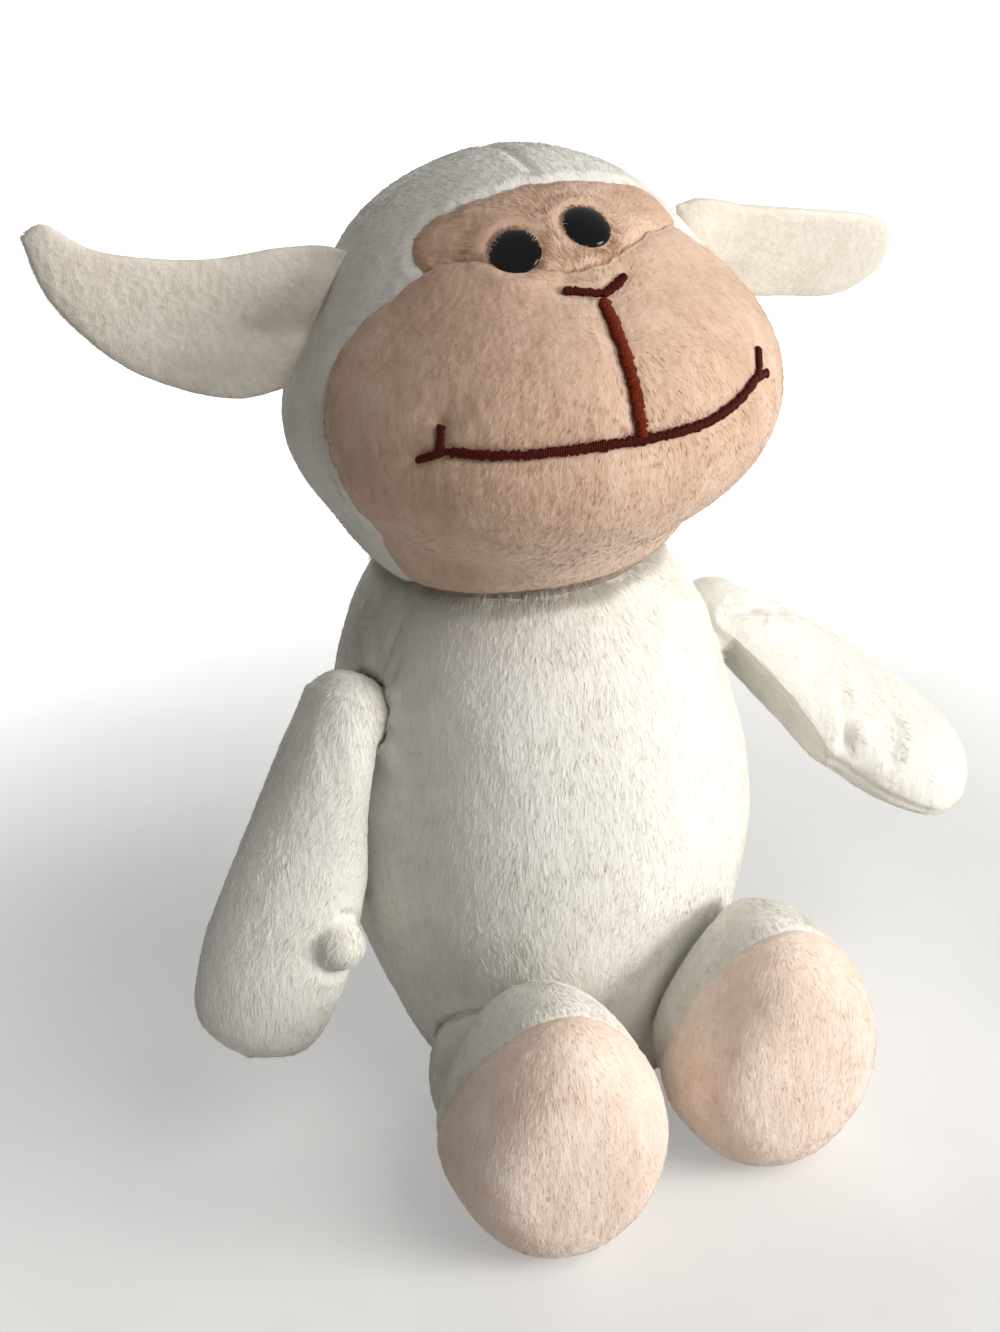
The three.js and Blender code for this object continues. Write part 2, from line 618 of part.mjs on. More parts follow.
// Materials
const plush = new THREE.MeshStandardMaterial({ color: 0xf2efe6, roughness: 0.95 });
const tanPlush = new THREE.MeshStandardMaterial({ color: 0xd9b79b, roughness: 0.95 });
const earPlush = new THREE.MeshStandardMaterial({ color: 0xeee4d6, roughness: 0.95 });
const filling = new THREE.MeshStandardMaterial({ color: 0xf7f7f5, roughness: 1 });
const gloss = new THREE.MeshStandardMaterial({ color: 0x0b0a0a, roughness: 0.12 });
const clearPlastic = new THREE.MeshStandardMaterial({ color: 0xd8d8d4, roughness: 0.5 });
const brownThread = new THREE.MeshStandardMaterial({ color: 0x4a1710, roughness: 0.6 });
const sewingThread = new THREE.MeshStandardMaterial({ color: 0xf4f1ea, roughness: 0.7 });

function addPiece(group, name, solid, material) {
  const mesh = new THREE.Mesh(geometryOf(solid), material);
  mesh.name = name;
  group.add(mesh);
}

// The body: two cover panels sewn at the sides, over their stuffing
function addBody(group) {
  const sockets = bodySockets();
  const top = rod(NECK_PIVOT, vector(0, 0, 1), NECK_RING_RADIUS + NECK_THREAD + GAP, OVERRUN, 30);
  const shell = bodyForm(24, 13, 0).subtract(bodyForm(16, 10, COVER)).subtract(sockets).subtract(top);
  const [front, back] = [-1, 1].map((face) => halfSpace(vector(0, face * GAP / 2, 0), vector(0, face, 0)));
  addPiece(group, 'body_front_panel', shell.intersect(front), plush);
  addPiece(group, 'body_back_panel', shell.intersect(back), plush);
  addPiece(group, 'body_stuffing', bodyForm(16, 10, COVER + GAP).subtract(sockets), filling);
  addPiece(group, 'neck_thread', neckThread(), sewingThread);
}

// A group that is turned about the neck
function turnedHead() {
  const pivoted = new THREE.Group();
  pivoted.position.copy(NECK_PIVOT);
  pivoted.rotation.z = radians(HEAD_TURN);
  const head = new THREE.Group();
  head.position.copy(NECK_PIVOT).negate();
  pivoted.add(head);
  return [pivoted, head];
}

function addHead(group) {
  const [pivoted, head] = turnedHead();
  group.add(pivoted);
  const bowl = ballCutter(NECK_PIVOT, NECK_BALL_RADIUS + GAP, 32);
  const eyeHoles = eyeHole('right', EYE_POST_RADIUS).add(eyeHole('left', EYE_POST_RADIUS));
  const pockets = eyeHole('right', WASHER_RADIUS).add(eyeHole('left', WASHER_RADIUS));
  const shell = headForm(24, 17, 0).subtract(headForm(16, 11, COVER)).subtract(bowl);
  const face = shell.subtract(eyeHoles);
  const clearOfMuzzle = panelCone(MUZZLE_SEAM_DEGREES, GAP);
  const brow = face.intersect(panelCone(BROW_SEAM_DEGREES, 0)).subtract(clearOfMuzzle);
  const cap = shell.subtract(clearOfMuzzle).subtract(panelCone(BROW_SEAM_DEGREES, GAP));
  addPiece(head, 'muzzle_panel', face.intersect(panelCone(MUZZLE_SEAM_DEGREES, 0)), tanPlush);
  addPiece(head, 'brow_panel', brow, tanPlush);
  addPiece(head, 'head_cap', cap, plush);
  addPiece(head, 'head_stuffing', headForm(16, 11, COVER + GAP).subtract(bowl).subtract(pockets), filling);
  addPiece(head, 'nose_stitch', noseStitch(), brownThread);
  addPiece(head, 'mouth_stitch', mouthStitch(), brownThread);
  for (const side of Object.keys(SIDES)) {
    const clearance = earClearance(side);
    addPiece(head, `eye_${side}`, placed(eyeForm(), eyeMatrix(side)), gloss);
    addPiece(head, `eye_washer_${side}`, placed(washerForm(), eyeMatrix(side)), clearPlastic);
    addPiece(head, `ear_${side}_front`, earLeaf(side, -1, clearance), earPlush);
    addPiece(head, `ear_${side}_back`, earLeaf(side, 1, clearance), plush);
  }
}

function addArm(group, side) {
  const sign = SIDES[side];
  const matrix = armMatrix(side, ARM_SWING[side], ARM_LIFT[side]);
  const radius = SHOULDER_BALL_RADIUS * OPENING_SHARE;
  const opening = rod(shoulderAt(side), vector(-sign, 0, 0), radius, OVERRUN, 12);
  const shell = armForm(14, 11, 0, side).subtract(armForm(10, 8, COVER, side));
  const stuffing = armForm(10, 8, COVER + GAP, side);
  addPiece(group, `shoulder_thread_${side}`, shoulderThread(side), sewingThread);
  addPiece(group, `arm_${side}_cover`, placed(shell, matrix).subtract(opening), plush);
  addPiece(group, `arm_${side}_stuffing`, placed(stuffing, matrix), filling);
}

function addLeg(group, side) {
  const leg = legForm(20, 11, 0, side);
  const opening = rod(hipAt(side), vector(0, 1, 0), HIP_BALL_RADIUS * OPENING_SHARE, OVERRUN);
  const shell = leg.subtract(legForm(12, 8, COVER, side)).subtract(opening).subtract(floor);
  addPiece(group, `leg_${side}_cover`, shell.subtract(inFrontOfSeam(side, 0)), plush);
  addPiece(group, `leg_${side}_sole`, shell.intersect(inFrontOfSeam(side, GAP)), tanPlush);
  addPiece(group, `leg_${side}_stuffing`, legForm(12, 8, COVER + GAP, side), filling);
}

const sheep = new THREE.Group();
addBody(sheep);
addHead(sheep);
for (const side of Object.keys(SIDES)) {
  addArm(sheep, side);
  addLeg(sheep, side);
}

export default sheep;
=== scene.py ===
import math
from contextlib import contextmanager
from itertools import product

import bmesh
import bpy
import numpy as np
from mathutils import Matrix, Vector


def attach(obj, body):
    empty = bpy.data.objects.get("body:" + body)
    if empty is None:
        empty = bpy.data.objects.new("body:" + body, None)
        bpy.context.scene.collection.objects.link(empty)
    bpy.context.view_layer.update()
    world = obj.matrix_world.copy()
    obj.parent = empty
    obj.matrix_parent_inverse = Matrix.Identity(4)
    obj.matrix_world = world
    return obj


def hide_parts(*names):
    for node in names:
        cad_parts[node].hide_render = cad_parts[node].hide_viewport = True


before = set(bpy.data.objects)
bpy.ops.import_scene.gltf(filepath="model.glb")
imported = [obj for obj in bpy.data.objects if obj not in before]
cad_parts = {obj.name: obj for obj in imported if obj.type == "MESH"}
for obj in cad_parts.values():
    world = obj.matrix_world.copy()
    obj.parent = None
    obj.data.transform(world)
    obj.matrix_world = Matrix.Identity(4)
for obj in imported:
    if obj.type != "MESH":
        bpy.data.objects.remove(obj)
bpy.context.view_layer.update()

MM = 0.001
SIDES = {"right": -1, "left": 1}

# Body: the named sizes here and below are mostly those of the CAD source, in millimetres and degrees
BODY_PROFILE = [(0, -0.5), (16, -0.5), (30, 11.5), (42.5, 50), (44, 71), (39, 97), (33, 116)]
BODY_DEPTH = 0.94
BODY_LEAN = 7
NECK_LEVEL = 116
NECK_PIVOT = np.array([0, 7, 90.019])
NECK_BALL = 42
NECK_CLEARANCE = 0.7
COLLAR_RADIUS = 25.3
# Head
HEAD_TURN = -5
HEAD_MIDDLE = np.array([0, 1, 158.0])
HEAD_BLEND = 20
HEAD_LUMPS = [
    ((0, 3, 166), (37.5, 37, 34)),
    ((0, 8, 153), (43.5, 35, 29)),
    ((0, -9, 158.5), (44, 38.5, 29.5)),
    ((0, 7, 142), (36, 33, 30)),
]
MUZZLE_SEAM = [
    (0, 44), (16, 46), (38, 48), (55, 45), (63, 38), (71, 30), (76, 19), (75, 7),
    (71, -5), (72, -18), (80, -37), (82, -54), (58, -67), (22, -71), (0, -71),
]
BROW_SEAM = [(0, 73.5), (50, 66), (66, 57), (66, 50), (50, 38), (25, 30), (0, 28)]
EYE_RADIUS, EYE_BULGE, EYE_SPACING, EYES_MIDDLE = 4.4, 1.4, 12.8, -3
EYE_STEM = [(0, -8), (1.0, -8), (1.2, -7.6), (1.2, -0.4), (3.4, -0.4), (4.1, -0.2)]
EYE_LEVEL = {"right": 188.5, "left": 190.5}
EYE_SHIFT = {"right": (-0.9, 1.0), "left": (0.0, 0.9)}
NOSE_POINTS = [(-5.5, 184.1), (-2.3, 183.6), (0.9, 182.9), (3.8, 183.5), (6.7, 184.4)]
LINE_POINTS = [(0.6, 182.4), (0.4, 176), (0.3, 170), (0.2, 161.9)]
MOUTH_POINTS = [
    (-31.5, 162.5), (-26.4, 162.1), (-20.2, 161.9), (-11.2, 162.1), (0.2, 161.9),
    (10.1, 161.6), (19.1, 162.4), (28, 164.8),
]
MOUTH_ENDS = [
    [(-31.6, 162.1), (-31.2, 164.5), (-30.7, 166.7)], [(-31, 162.4), (-33, 161.4), (-34.9, 160.4)],
    [(28, 164.4), (29.2, 166.4), (30.3, 168.4)], [(27.6, 164.7), (29.6, 164.4), (31.4, 163.9)],
]
# Ears
EAR_LENGTH, EAR_ROOT = 50, 13
EAR_TOP = {
    "right": [(0, 1), (0.4, 0.74), (0.75, 0.84), (0.94, 1.18), (1.02, 1)],
    "left": [(0, 0.75), (0.4, 1.05), (0.75, 1.2), (0.94, 0.95), (1.02, 0.3)],
}
EAR_BOTTOM = {
    "right": [(0, -0.85), (0.3, -1.2), (0.66, -0.85), (0.92, 0.05), (1.02, 1)],
    "left": [(0, -0.6), (0.3, -0.65), (0.66, -0.5), (0.92, -0.25), (1.02, 0.3)],
}
EAR_THICKNESS, EAR_CUP, EAR_ROOT_LEVEL, EAR_ROOT_BACK = 4.4, 5, 176, 5
EAR_SWEEP = {"right": 16, "left": 9}
EAR_LIFT = {"right": 5, "left": -20}
EAR_TWIST = {"right": 0, "left": 28}
# Arms
SHOULDER = {"right": np.array([-42, 2, 99.0]), "left": np.array([42, 2, 95.0])}
SHOULDER_BALL = 9
ARM_LENGTH, ARM_HALF_WIDTH, ARM_HALF_THICKNESS = 73.5, 15, 9
ARM_OUTLINE = [
    (0, -0.12), (0.43, -0.087), (0.6, 0), (0.74, 0.2), (0.88, 0.45), (1, 0.7), (0.78, 0.92), (0, 1),
]
ARM_LIFT = {"right": 25, "left": 44}
ARM_SWING = {"right": 5, "left": 27}
ARM_TWIST = {"right": -30, "left": 28}
THUMB_BALL = {"right": 5.2, "left": 4.7}
THUMB_AT = {"right": np.array([11.2, -4.6, -44.0]), "left": np.array([-8.2, -3.2, -39.5])}
# The left arm's fold below its shoulder, and the grooves beside its thumb
SHOULDER_FOLD = [(-4.5, -8, 1), (-1, -9, -2.5), (2.5, -9, -7), (4, -8.5, -11)]
THUMB_GROOVES = [
    [(-3, -8, -28), (-8.5, -6.5, -31.5), (-13, -4, -36)],
    [(-2, -8.5, -42), (-5, -8, -46), (-11, -6, -47)],
]
# Legs
HIP = {side: np.array([sign * 23.5, -24, 21.0]) for side, sign in SIDES.items()}
HIP_BALL = 18
FOOT_HALF_WIDTH, FOOT_HALF_HEIGHT, FOOT_BACK, FOOT_REACH = 22, 28.5, 33, 66
FOOT_OUTLINE = [(0, 0), (0.7, 0), (0.94, 0.22), (1, 0.5), (0.9, 0.78), (0.6, 0.96), (0, 1)]
FOOT_TAPER = 0.2
SOLE_REACH, SOLE_TILT = 44, 17
FOOT_YAW = {"right": -12, "left": -6}
# Each part that moves is cleared of the one it is sewn to at these angles, by this much
EAR_FLOPS, EAR_CLEARANCE = (-30, -15, 15, 30, 0), 0.5
ARM_LIFTS, ARM_SWINGS, ARM_CLEARANCE = (95, 60, 25), range(-30, 31, 10), 1.1
LEG_SWINGS, LEG_CLEARANCE = (-35, -25, -15, -5, 6, 0), 0.6
# Sewing and pile
SEAM_DEPTH, SEAM_WIDTH = 0.5, 1.3
STITCH_PITCH = 0.4
PILE_DENSITY = 11


# Vectors and curves
def unit(v):
    return v / np.maximum(np.linalg.norm(v, axis=-1, keepdims=True), 1e-9)


def norms(v):
    return np.linalg.norm(v, axis=1)


def run_of(line):
    """How far along a line each of its points is."""
    return np.r_[0, np.cumsum(norms(np.diff(line, axis=0)))]


def turn(axis, degrees):
    return np.array(Matrix.Rotation(math.radians(degrees), 3, axis))


def smooth(x, low, high):
    t = np.clip((x - low) / (high - low), 0, 1)
    return t * t * (3 - 2 * t)


def hill(x, width):
    return np.exp(-((x / width) ** 2))


def spline(points, steps, closed=False):
    """Even steps along the smooth curve through some points."""
    p = np.array(points, float)
    n = len(p) if closed else len(p) - 1
    t = np.linspace(0, n, 60 * n + 1)
    i = np.minimum(t.astype(int), n - 1)
    w = (t - i)[:, None]
    if closed:
        p0, p1, p2, p3 = (p[(i + k) % n] for k in (-1, 0, 1, 2))
    else:
        p0, p1, p2, p3 = p[np.maximum(i - 1, 0)], p[i], p[i + 1], p[np.minimum(i + 2, n)]
    a, b = (p2 - p0) / 2, (p3 - p1) / 2
    c = (2 * p1 - 2 * p2 + a + b) * w**3 + (3 * p2 - 3 * p1 - 2 * a - b) * w**2 + a * w + p1
    d = run_of(c)
    s = np.linspace(0, d[-1], steps)
    return np.stack([np.interp(s, d, c[:, k]) for k in range(c.shape[1])], 1)


# Seeded noise that changes smoothly over a length
def noise(p, size, seed):
    q = p / size + seed * 17.31
    cell = np.floor(q).astype(np.int64)
    f = q - cell
    f = f * f * (3 - 2 * f)
    total = 0
    for z, y, x in product((0, 1), repeat=3):
        k = np.array([x, y, z])
        h = (cell + k) @ np.array([73856093, 19349663, 83492791]) + seed * 2654435761
        h = (h ^ (h >> 13)) * 1274126177 & 0x7FFFFFFF
        h = (h ^ (h >> 16)) & 0xFFFF
        weight = np.prod(np.where(k, f, 1 - f), axis=1)
        total = total + weight * (h / 32767.5 - 1)
    return total


def noise3(p, size, seed):
    return np.stack([noise(p, size, seed + k) for k in range(3)], 1)


def gap_to(points, line):
    """How far each point is from the nearest of a line of points."""
    far = []
    for start in range(0, len(points), 20000):
        part = points[start : start + 20000]
        d = (part**2).sum(1)[:, None] + (line**2).sum(1)[None] - 2 * part @ line.T
        far.append(np.sqrt(np.maximum(d.min(1), 0)))
    return np.concatenate(far)


def within(points, outline):
    """Which 2D points lie inside a closed outline."""
    inside = np.zeros(len(points), bool)
    x, y = points.T
    for (x0, y0), (x1, y1) in zip(outline, np.roll(outline, -1, 0)):
        if y0 != y1:
            crosses = ((y0 > y) != (y1 > y)) & (x < (x1 - x0) * (y - y0) / (y1 - y0) + x0)
            inside ^= crosses
    return inside


# Meshes
def rings(count, around):
    """Faces from one point out to a ring of points, and on from ring to ring."""
    k = np.arange(around)
    n = (k + 1) % around
    faces = [[0, 1 + b, 1 + a] for a, b in zip(k, n)]
    for row in range(count - 1):
        a = 1 + row * around
        faces += np.stack([a + k, a + n, a + around + n, a + around + k], 1).tolist()
    return faces


def grid(points):
    """A closed form from rows of points: rings between the first and last row, which are one point each."""
    rows, around = points.shape[:2]
    verts = np.concatenate([points[0, :1], points[1:-1].reshape(-1, 3), points[-1, :1]])
    last = np.arange(len(verts) - 1 - around, len(verts) - 1)
    caps = [[i, j, len(verts) - 1] for i, j in zip(last, np.roll(last, -1))]
    return verts, rings(rows - 2, around) + caps


def ball(middle, radius, steps=24):
    tilt = np.linspace(0, math.pi, steps)[:, None]
    angle = np.arange(2 * steps)[None] * math.pi / steps
    p = np.stack([np.sin(tilt) * np.cos(angle), np.sin(tilt) * np.sin(angle), np.cos(tilt) + 0 * angle], 2)
    return grid(np.array(middle) + radius * p)


def new_mesh(name, verts, faces):
    mesh = bpy.data.meshes.new(name)
    mesh.from_pydata((np.asarray(verts) * MM).tolist(), [], faces)
    mesh.validate()
    mesh.update()
    return mesh


def rows_of(items, name, kind=float, size=3):
    """One value of each of a mesh's elements, as rows."""
    rows = np.empty(len(items) * size, kind)
    items.foreach_get(name, rows)
    return rows.reshape(-1, size)


def points_of(mesh):
    return rows_of(mesh.vertices, "co") / MM


def surface_of(mesh):
    return points_of(mesh), rows_of(mesh.vertex_normals, "vector")


def move_points(mesh, points):
    mesh.vertices.foreach_set("co", (points * MM).ravel())
    mesh.update()


@contextmanager
def reworked(mesh):
    bm = bmesh.new()
    bm.from_mesh(mesh)
    yield bm
    bm.to_mesh(mesh)
    bm.free()
    mesh.update()


def outward(mesh):
    """Turns the faces of a closed mesh outward."""
    with reworked(mesh) as bm:
        bmesh.ops.recalc_face_normals(bm, faces=bm.faces)
        if bm.calc_volume(signed=True) < 0:
            bmesh.ops.reverse_faces(bm, faces=bm.faces)


def together(forms):
    """Several forms as one list of points and one of faces."""
    verts, faces, start = [], [], 0
    for v, f in forms:
        verts.append(v)
        faces += [[i + start for i in face] for face in f]
        start += len(v)
    return np.concatenate(verts), faces


def joined(name, forms, voxel, rounds):
    """One skin over closed forms that overlap, with the creases between them softened."""
    mesh = new_mesh(name, *together(forms))
    outward(mesh)
    obj = placed(name + "_rough", mesh)
    remesh = obj.modifiers.new("remesh", "REMESH")
    remesh.mode = "VOXEL"
    remesh.voxel_size = voxel * MM
    made = bpy.data.meshes.new_from_object(obj.evaluated_get(bpy.context.evaluated_depsgraph_get()))
    bpy.data.objects.remove(obj)
    made.name = name
    relax(made, rounds)
    return made


def relax(mesh, rounds):
    a, b = rows_of(mesh.edges, "vertices", int, 2).T
    ends, others = np.r_[a, b], np.r_[b, a]
    p = points_of(mesh)
    count = np.bincount(ends, minlength=len(p))[:, None]
    for _ in range(rounds):
        total = np.stack([np.bincount(ends, p[others, k], len(p)) for k in range(3)], 1)
        p = p + 0.5 * (total / np.maximum(count, 1) - p)
    move_points(mesh, p)


def placed(name, data):
    obj = bpy.data.objects.new(name, data)
    bpy.context.scene.collection.objects.link(obj)
    return obj


def piece(name, mesh, body, material, replaces=()):
    mesh.shade_smooth()
    mesh.materials.clear()
    mesh.materials.append(material)
    obj = placed(name, mesh)
    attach(obj, body)
    if replaces:
        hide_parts(*replaces)
    return obj


# Materials
def nodes_of(name):
    material = bpy.data.materials.new(name)
    material.use_nodes = True
    tree = material.node_tree
    return material, tree, tree.nodes["Principled BSDF"]


def feed(tree, node, inputs):
    """Gives a node's inputs their values, or links from other nodes."""
    for key, value in inputs.items():
        if isinstance(value, bpy.types.NodeSocket):
            tree.links.new(value, node.inputs[key])
        else:
            node.inputs[key].default_value = value


def add(tree, kind, inputs=None, **settings):
    node = tree.nodes.new(kind)
    for key, value in settings.items():
        setattr(node, key, value)
    feed(tree, node, inputs or {})
    return node


def rgb(hexcode):
    parts = [int(hexcode[i : i + 2], 16) / 255 for i in (0, 2, 4)]
    return tuple(c / 12.92 if c <= 0.04045 else ((c + 0.055) / 1.055) ** 2.4 for c in parts) + (1,)


def mottled(tree, colours, sizes, stretch=(1, 1, 1)):
    """A colour that drifts between three tones, in patches and in streaks."""
    place = add(tree, "ShaderNodeTexCoord").outputs["Object"]
    mapped = add(tree, "ShaderNodeMapping", {"Vector": place, "Scale": stretch}).outputs["Vector"]
    value = None
    for size, share in sizes:
        made = add(tree, "ShaderNodeTexNoise", {"Vector": mapped, "Scale": 1 / (size * MM), "Detail": 3.0})
        part = add(tree, "ShaderNodeMath", {0: made.outputs["Fac"], 1: share}, operation="MULTIPLY")
        part = part.outputs[0]
        value = part if value is None else add(tree, "ShaderNodeMath", {0: value, 1: part}).outputs[0]
    ramp = add(tree, "ShaderNodeValToRGB", {"Fac": value})
    stops = ramp.color_ramp.elements
    stops[0].position, stops[1].position = 0.36, 0.64
    stops[0].color, stops[1].color = rgb(colours[0]), rgb(colours[2])
    stops.new(0.5).color = rgb(colours[1])
    return ramp.outputs["Color"], mapped


def plush(name, colours, stretch=(1, 1, 0.35)):
    material, tree, shader = nodes_of(name)
    colour, mapped = mottled(tree, colours, ((14, 0.4), (3, 0.35), (0.8, 0.25)), stretch)
    fine = add(tree, "ShaderNodeTexNoise", {
        "Vector": mapped, "Scale": 1 / (0.5 * MM), "Detail": 4.0, "Roughness": 0.7,
    })
    clumps = add(tree, "ShaderNodeTexVoronoi", {"Vector": mapped, "Scale": 1 / (1.5 * MM)})
    height = add(tree, "ShaderNodeMath", {0: fine.outputs["Fac"], 1: clumps.outputs["Distance"]})
    bump = add(tree, "ShaderNodeBump", {"Height": height.outputs[0], "Strength": 0.4, "Distance": 0.4 * MM})
    feed(tree, shader, {
        "Base Color": colour, "Normal": bump.outputs["Normal"], "Roughness": 0.95,
        "Specular IOR Level": 0.15, "Sheen Weight": 0.35, "Sheen Roughness": 0.5,
    })
    return material


def pile(name, colours):
    """The fibres' material: the plush's tones, a little different from fibre to fibre."""
    material, tree, shader = nodes_of(name)
    colour, _ = mottled(tree, colours, ((14, 0.5), (3, 0.5)), (1, 1, 0.35))
    shade = add(tree, "ShaderNodeAttribute", attribute_name="shade")
    mixed = add(tree, "ShaderNodeHueSaturation", {"Color": colour, "Value": shade.outputs["Fac"]})
    look = {"Base Color": mixed.outputs["Color"], "Roughness": 0.85, "Specular IOR Level": 0.1}
    feed(tree, shader, look)
    return material


def thread(name, dark, light, size):
    material, tree, shader = nodes_of(name)
    colour, mapped = mottled(tree, (dark, dark, light), ((size, 0.6), (size / 4, 0.4)))
    fine = add(tree, "ShaderNodeTexNoise", {"Vector": mapped, "Scale": 1 / (size / 3 * MM), "Detail": 3.0})
    bump = add(tree, "ShaderNodeBump", {"Height": fine.outputs["Fac"], "Strength": 0.4, "Distance": 0.1 * MM})
    feed(tree, shader, {
        "Base Color": colour, "Normal": bump.outputs["Normal"], "Roughness": 0.6, "Specular IOR Level": 0.12,
    })
    return material


def moulded(name, dark, light, roughness, shine=0.4):
    material, tree, shader = nodes_of(name)
    colour, mapped = mottled(tree, (dark, dark, light), ((2, 0.6), (0.5, 0.4)))
    grain = add(tree, "ShaderNodeTexNoise", {"Vector": mapped, "Scale": 1 / (0.3 * MM), "Detail": 2.0})
    level = add(tree, "ShaderNodeMapRange", {
        "Value": grain.outputs["Fac"], "To Min": roughness * 0.7, "To Max": roughness * 1.5,
    })
    feed(tree, shader, {
        "Base Color": colour, "Roughness": level.outputs["Result"], "Specular IOR Level": shine,
    })
    return material


WHITE_TONES = ("e7e4db", "efece4", "f5f3ec")
TAN_TONES = ("c9a78f", "d8b79f", "e3c8b3")
SOLE_TONES = ("e8d0be", "f2ddcd", "f8eae0")
EAR_TONES = ("ddd3c4", "e9e0d2", "f1eade")
WHITE = plush("white_plush", WHITE_TONES)
TAN = plush("tan_plush", TAN_TONES)
SOLE = plush("sole_plush", SOLE_TONES)
EAR = plush("ear_plush", EAR_TONES, (1, 1, 1))
WHITE_PILE = pile("white_pile", WHITE_TONES)
TAN_PILE = pile("tan_pile", TAN_TONES)
SOLE_PILE = pile("sole_pile", SOLE_TONES)
EAR_PILE = pile("ear_pile", EAR_TONES)
EYE = moulded("black_gloss", "020202", "050404", 0.07, 0.14)
WASHER = moulded("clear_plastic", "c4c4c0", "d8d8d4", 0.45)
MOUTH_THREAD = thread("brown_thread", "3c0a04", "5e1808", 0.4)
NOSE_THREAD = thread("russet_thread", "5c1a08", "8a3610", 0.4)
SEWING = thread("sewing_thread", "dedad0", "f4f1ea", 0.5)


# Pile
def grow(obj, density, length, comb, lay, seed, material, keep=None, radius=0.04, vary=0.02):
    """Short fibres that lie over the way they are combed, bunched a little."""
    mesh = obj.data
    mesh.calc_loop_triangles()
    corners = rows_of(mesh.loop_triangles, "vertices", int)
    p, n = surface_of(mesh)
    a, b, c = (p[corners[:, k]] for k in range(3))
    area = norms(np.cross(b - a, c - a)) / 2
    draw = np.random.default_rng(seed)
    count = int(area.sum() * density * (1))
    which = np.searchsorted(np.cumsum(area) / area.sum(), draw.random(count))
    which = np.minimum(which, len(corners) - 1)
    u, v = draw.random((2, count, 1))
    u, v = np.where(u + v > 1, 1 - u, u), np.where(u + v > 1, 1 - v, v)
    first, second, third = corners[which].T

    def mix(values):
        return (1 - u - v) * values[first] + u * values[second] + v * values[third]

    root, normal = mix(p), unit(mix(n))
    if keep is not None:
        kept = keep(root)
        root, normal = root[kept], normal[kept]
    count = len(root)
    flow = comb(root) + 0.4 * noise3(root, 12, seed) + 0.1 * noise3(root, 4, seed + 5)
    flow = unit(flow - (flow * normal).sum(1)[:, None] * normal)
    bunch = noise3(root, 2.2, seed + 9)
    stray = draw.normal(0, 1, (count, 3))
    way = unit(normal * (1 - lay) + flow * lay + 0.04 * bunch + 0.09 * stray)
    reach = length * draw.uniform(0.7, 1.15, (count, 1)) * (1 + 0.15 * noise(root, 5, seed + 3))[:, None]
    steps = np.array([0, 0.4, 0.75, 1])[:, None, None]
    curve = root - 0.15 * normal + way * reach * steps + (flow * 0.3 - normal * 0.22) * reach * steps**2
    curve = curve.transpose(1, 0, 2)
    data = bpy.data.hair_curves.new(obj.name + "_pile")
    data.add_curves([4] * count)
    data.position_data.foreach_set("vector", (curve * MM).astype(np.float32).ravel())
    width = data.attributes.new("radius", "FLOAT", "POINT")
    thick = radius * MM * np.array([1, 0.9, 0.65, 0.2])[None] * draw.uniform(0.7, 1.3, (count, 1))
    width.data.foreach_set("value", thick.astype(np.float32).ravel())
    shade = data.attributes.new("shade", "FLOAT", "CURVE")
    tone = 1 + vary * (draw.normal(0, 1, count) + noise(root, 2.2, seed + 7))
    shade.data.foreach_set("value", tone.astype(np.float32))
    data.materials.append(material)
    placed(obj.name + "_pile", data).parent = obj


def sunk(p, n, depth):
    return p - n * depth[:, None]


def ruffle(p, n, seed):
    """Bunches of pile and the stuffing's slow lumps, as relief."""
    bunches = np.abs(noise(p, 2.4, seed)) + 0.6 * np.abs(noise(p, 1.2, seed + 1))
    slow = noise(p, 24, seed + 2) * 0.5 + noise(p, 10, seed + 3) * 0.18
    return p + n * (slow - 0.08 * bunches + 0.04)[:, None]


# The body: one stuffed bag with a seam down each side, and sockets where the limbs are sewn on
SOCKETS = [(SHOULDER[side], SHOULDER_BALL, sign) for side, sign in SIDES.items()]
SOCKETS += [(HIP[side], HIP_BALL, sign) for side, sign in SIDES.items()]
# Its outline, with the neck's ball on top, and the part above the flat seat
DOME_TILT = np.linspace(math.asin((NECK_LEVEL - NECK_PIVOT[2]) / NECK_BALL), math.pi / 2, 60)[1:]
DOME = np.stack([NECK_BALL * np.cos(DOME_TILT), NECK_PIVOT[2] + NECK_BALL * np.sin(DOME_TILT)], 1)
BODY_LINE = np.concatenate([spline(BODY_PROFILE, 400), DOME])
BODY_SIDE = BODY_LINE[(BODY_LINE[:, 1] > -0.49) & (np.arange(len(BODY_LINE)) > 20)]


def body_section(z):
    """The body's depth for its width at a height, and how far back it leans there."""
    depth = BODY_DEPTH + (1 - BODY_DEPTH) * smooth(z, 50, NECK_LEVEL)
    return depth, BODY_LEAN * np.clip(z, 0, NECK_LEVEL) / NECK_LEVEL


def body_gap(p):
    """How far points are outside the body, and which way leads out of it."""
    z = p[:, 2]
    r = np.interp(z, BODY_SIDE[:, 1], BODY_SIDE[:, 0])
    above, below = (np.interp(z + step, BODY_SIDE[:, 1], BODY_SIDE[:, 0]) for step in (1, -1))
    slope = np.clip((above - below) / 2, -1.2, 1.2)
    depth, lean = body_section(z)
    x, y = p[:, 0], (p[:, 1] - lean) / depth
    rho = np.maximum(np.hypot(x, y), 1e-6)
    way = unit(np.stack([x / rho, y / rho / depth, -slope], 1))
    gap = (rho - r) / np.sqrt(1 + slope**2)
    from_neck = p - NECK_PIVOT
    high = z > NECK_LEVEL
    gap = np.where(high, norms(from_neck) - NECK_BALL, gap)
    way = np.where(high[:, None], unit(from_neck), way)
    return gap, way


def clear_of_body(p, clearance):
    for _ in range(3):
        gap, way = body_gap(p)
        p = p + way * np.maximum(clearance - gap, 0)[:, None]
    return p


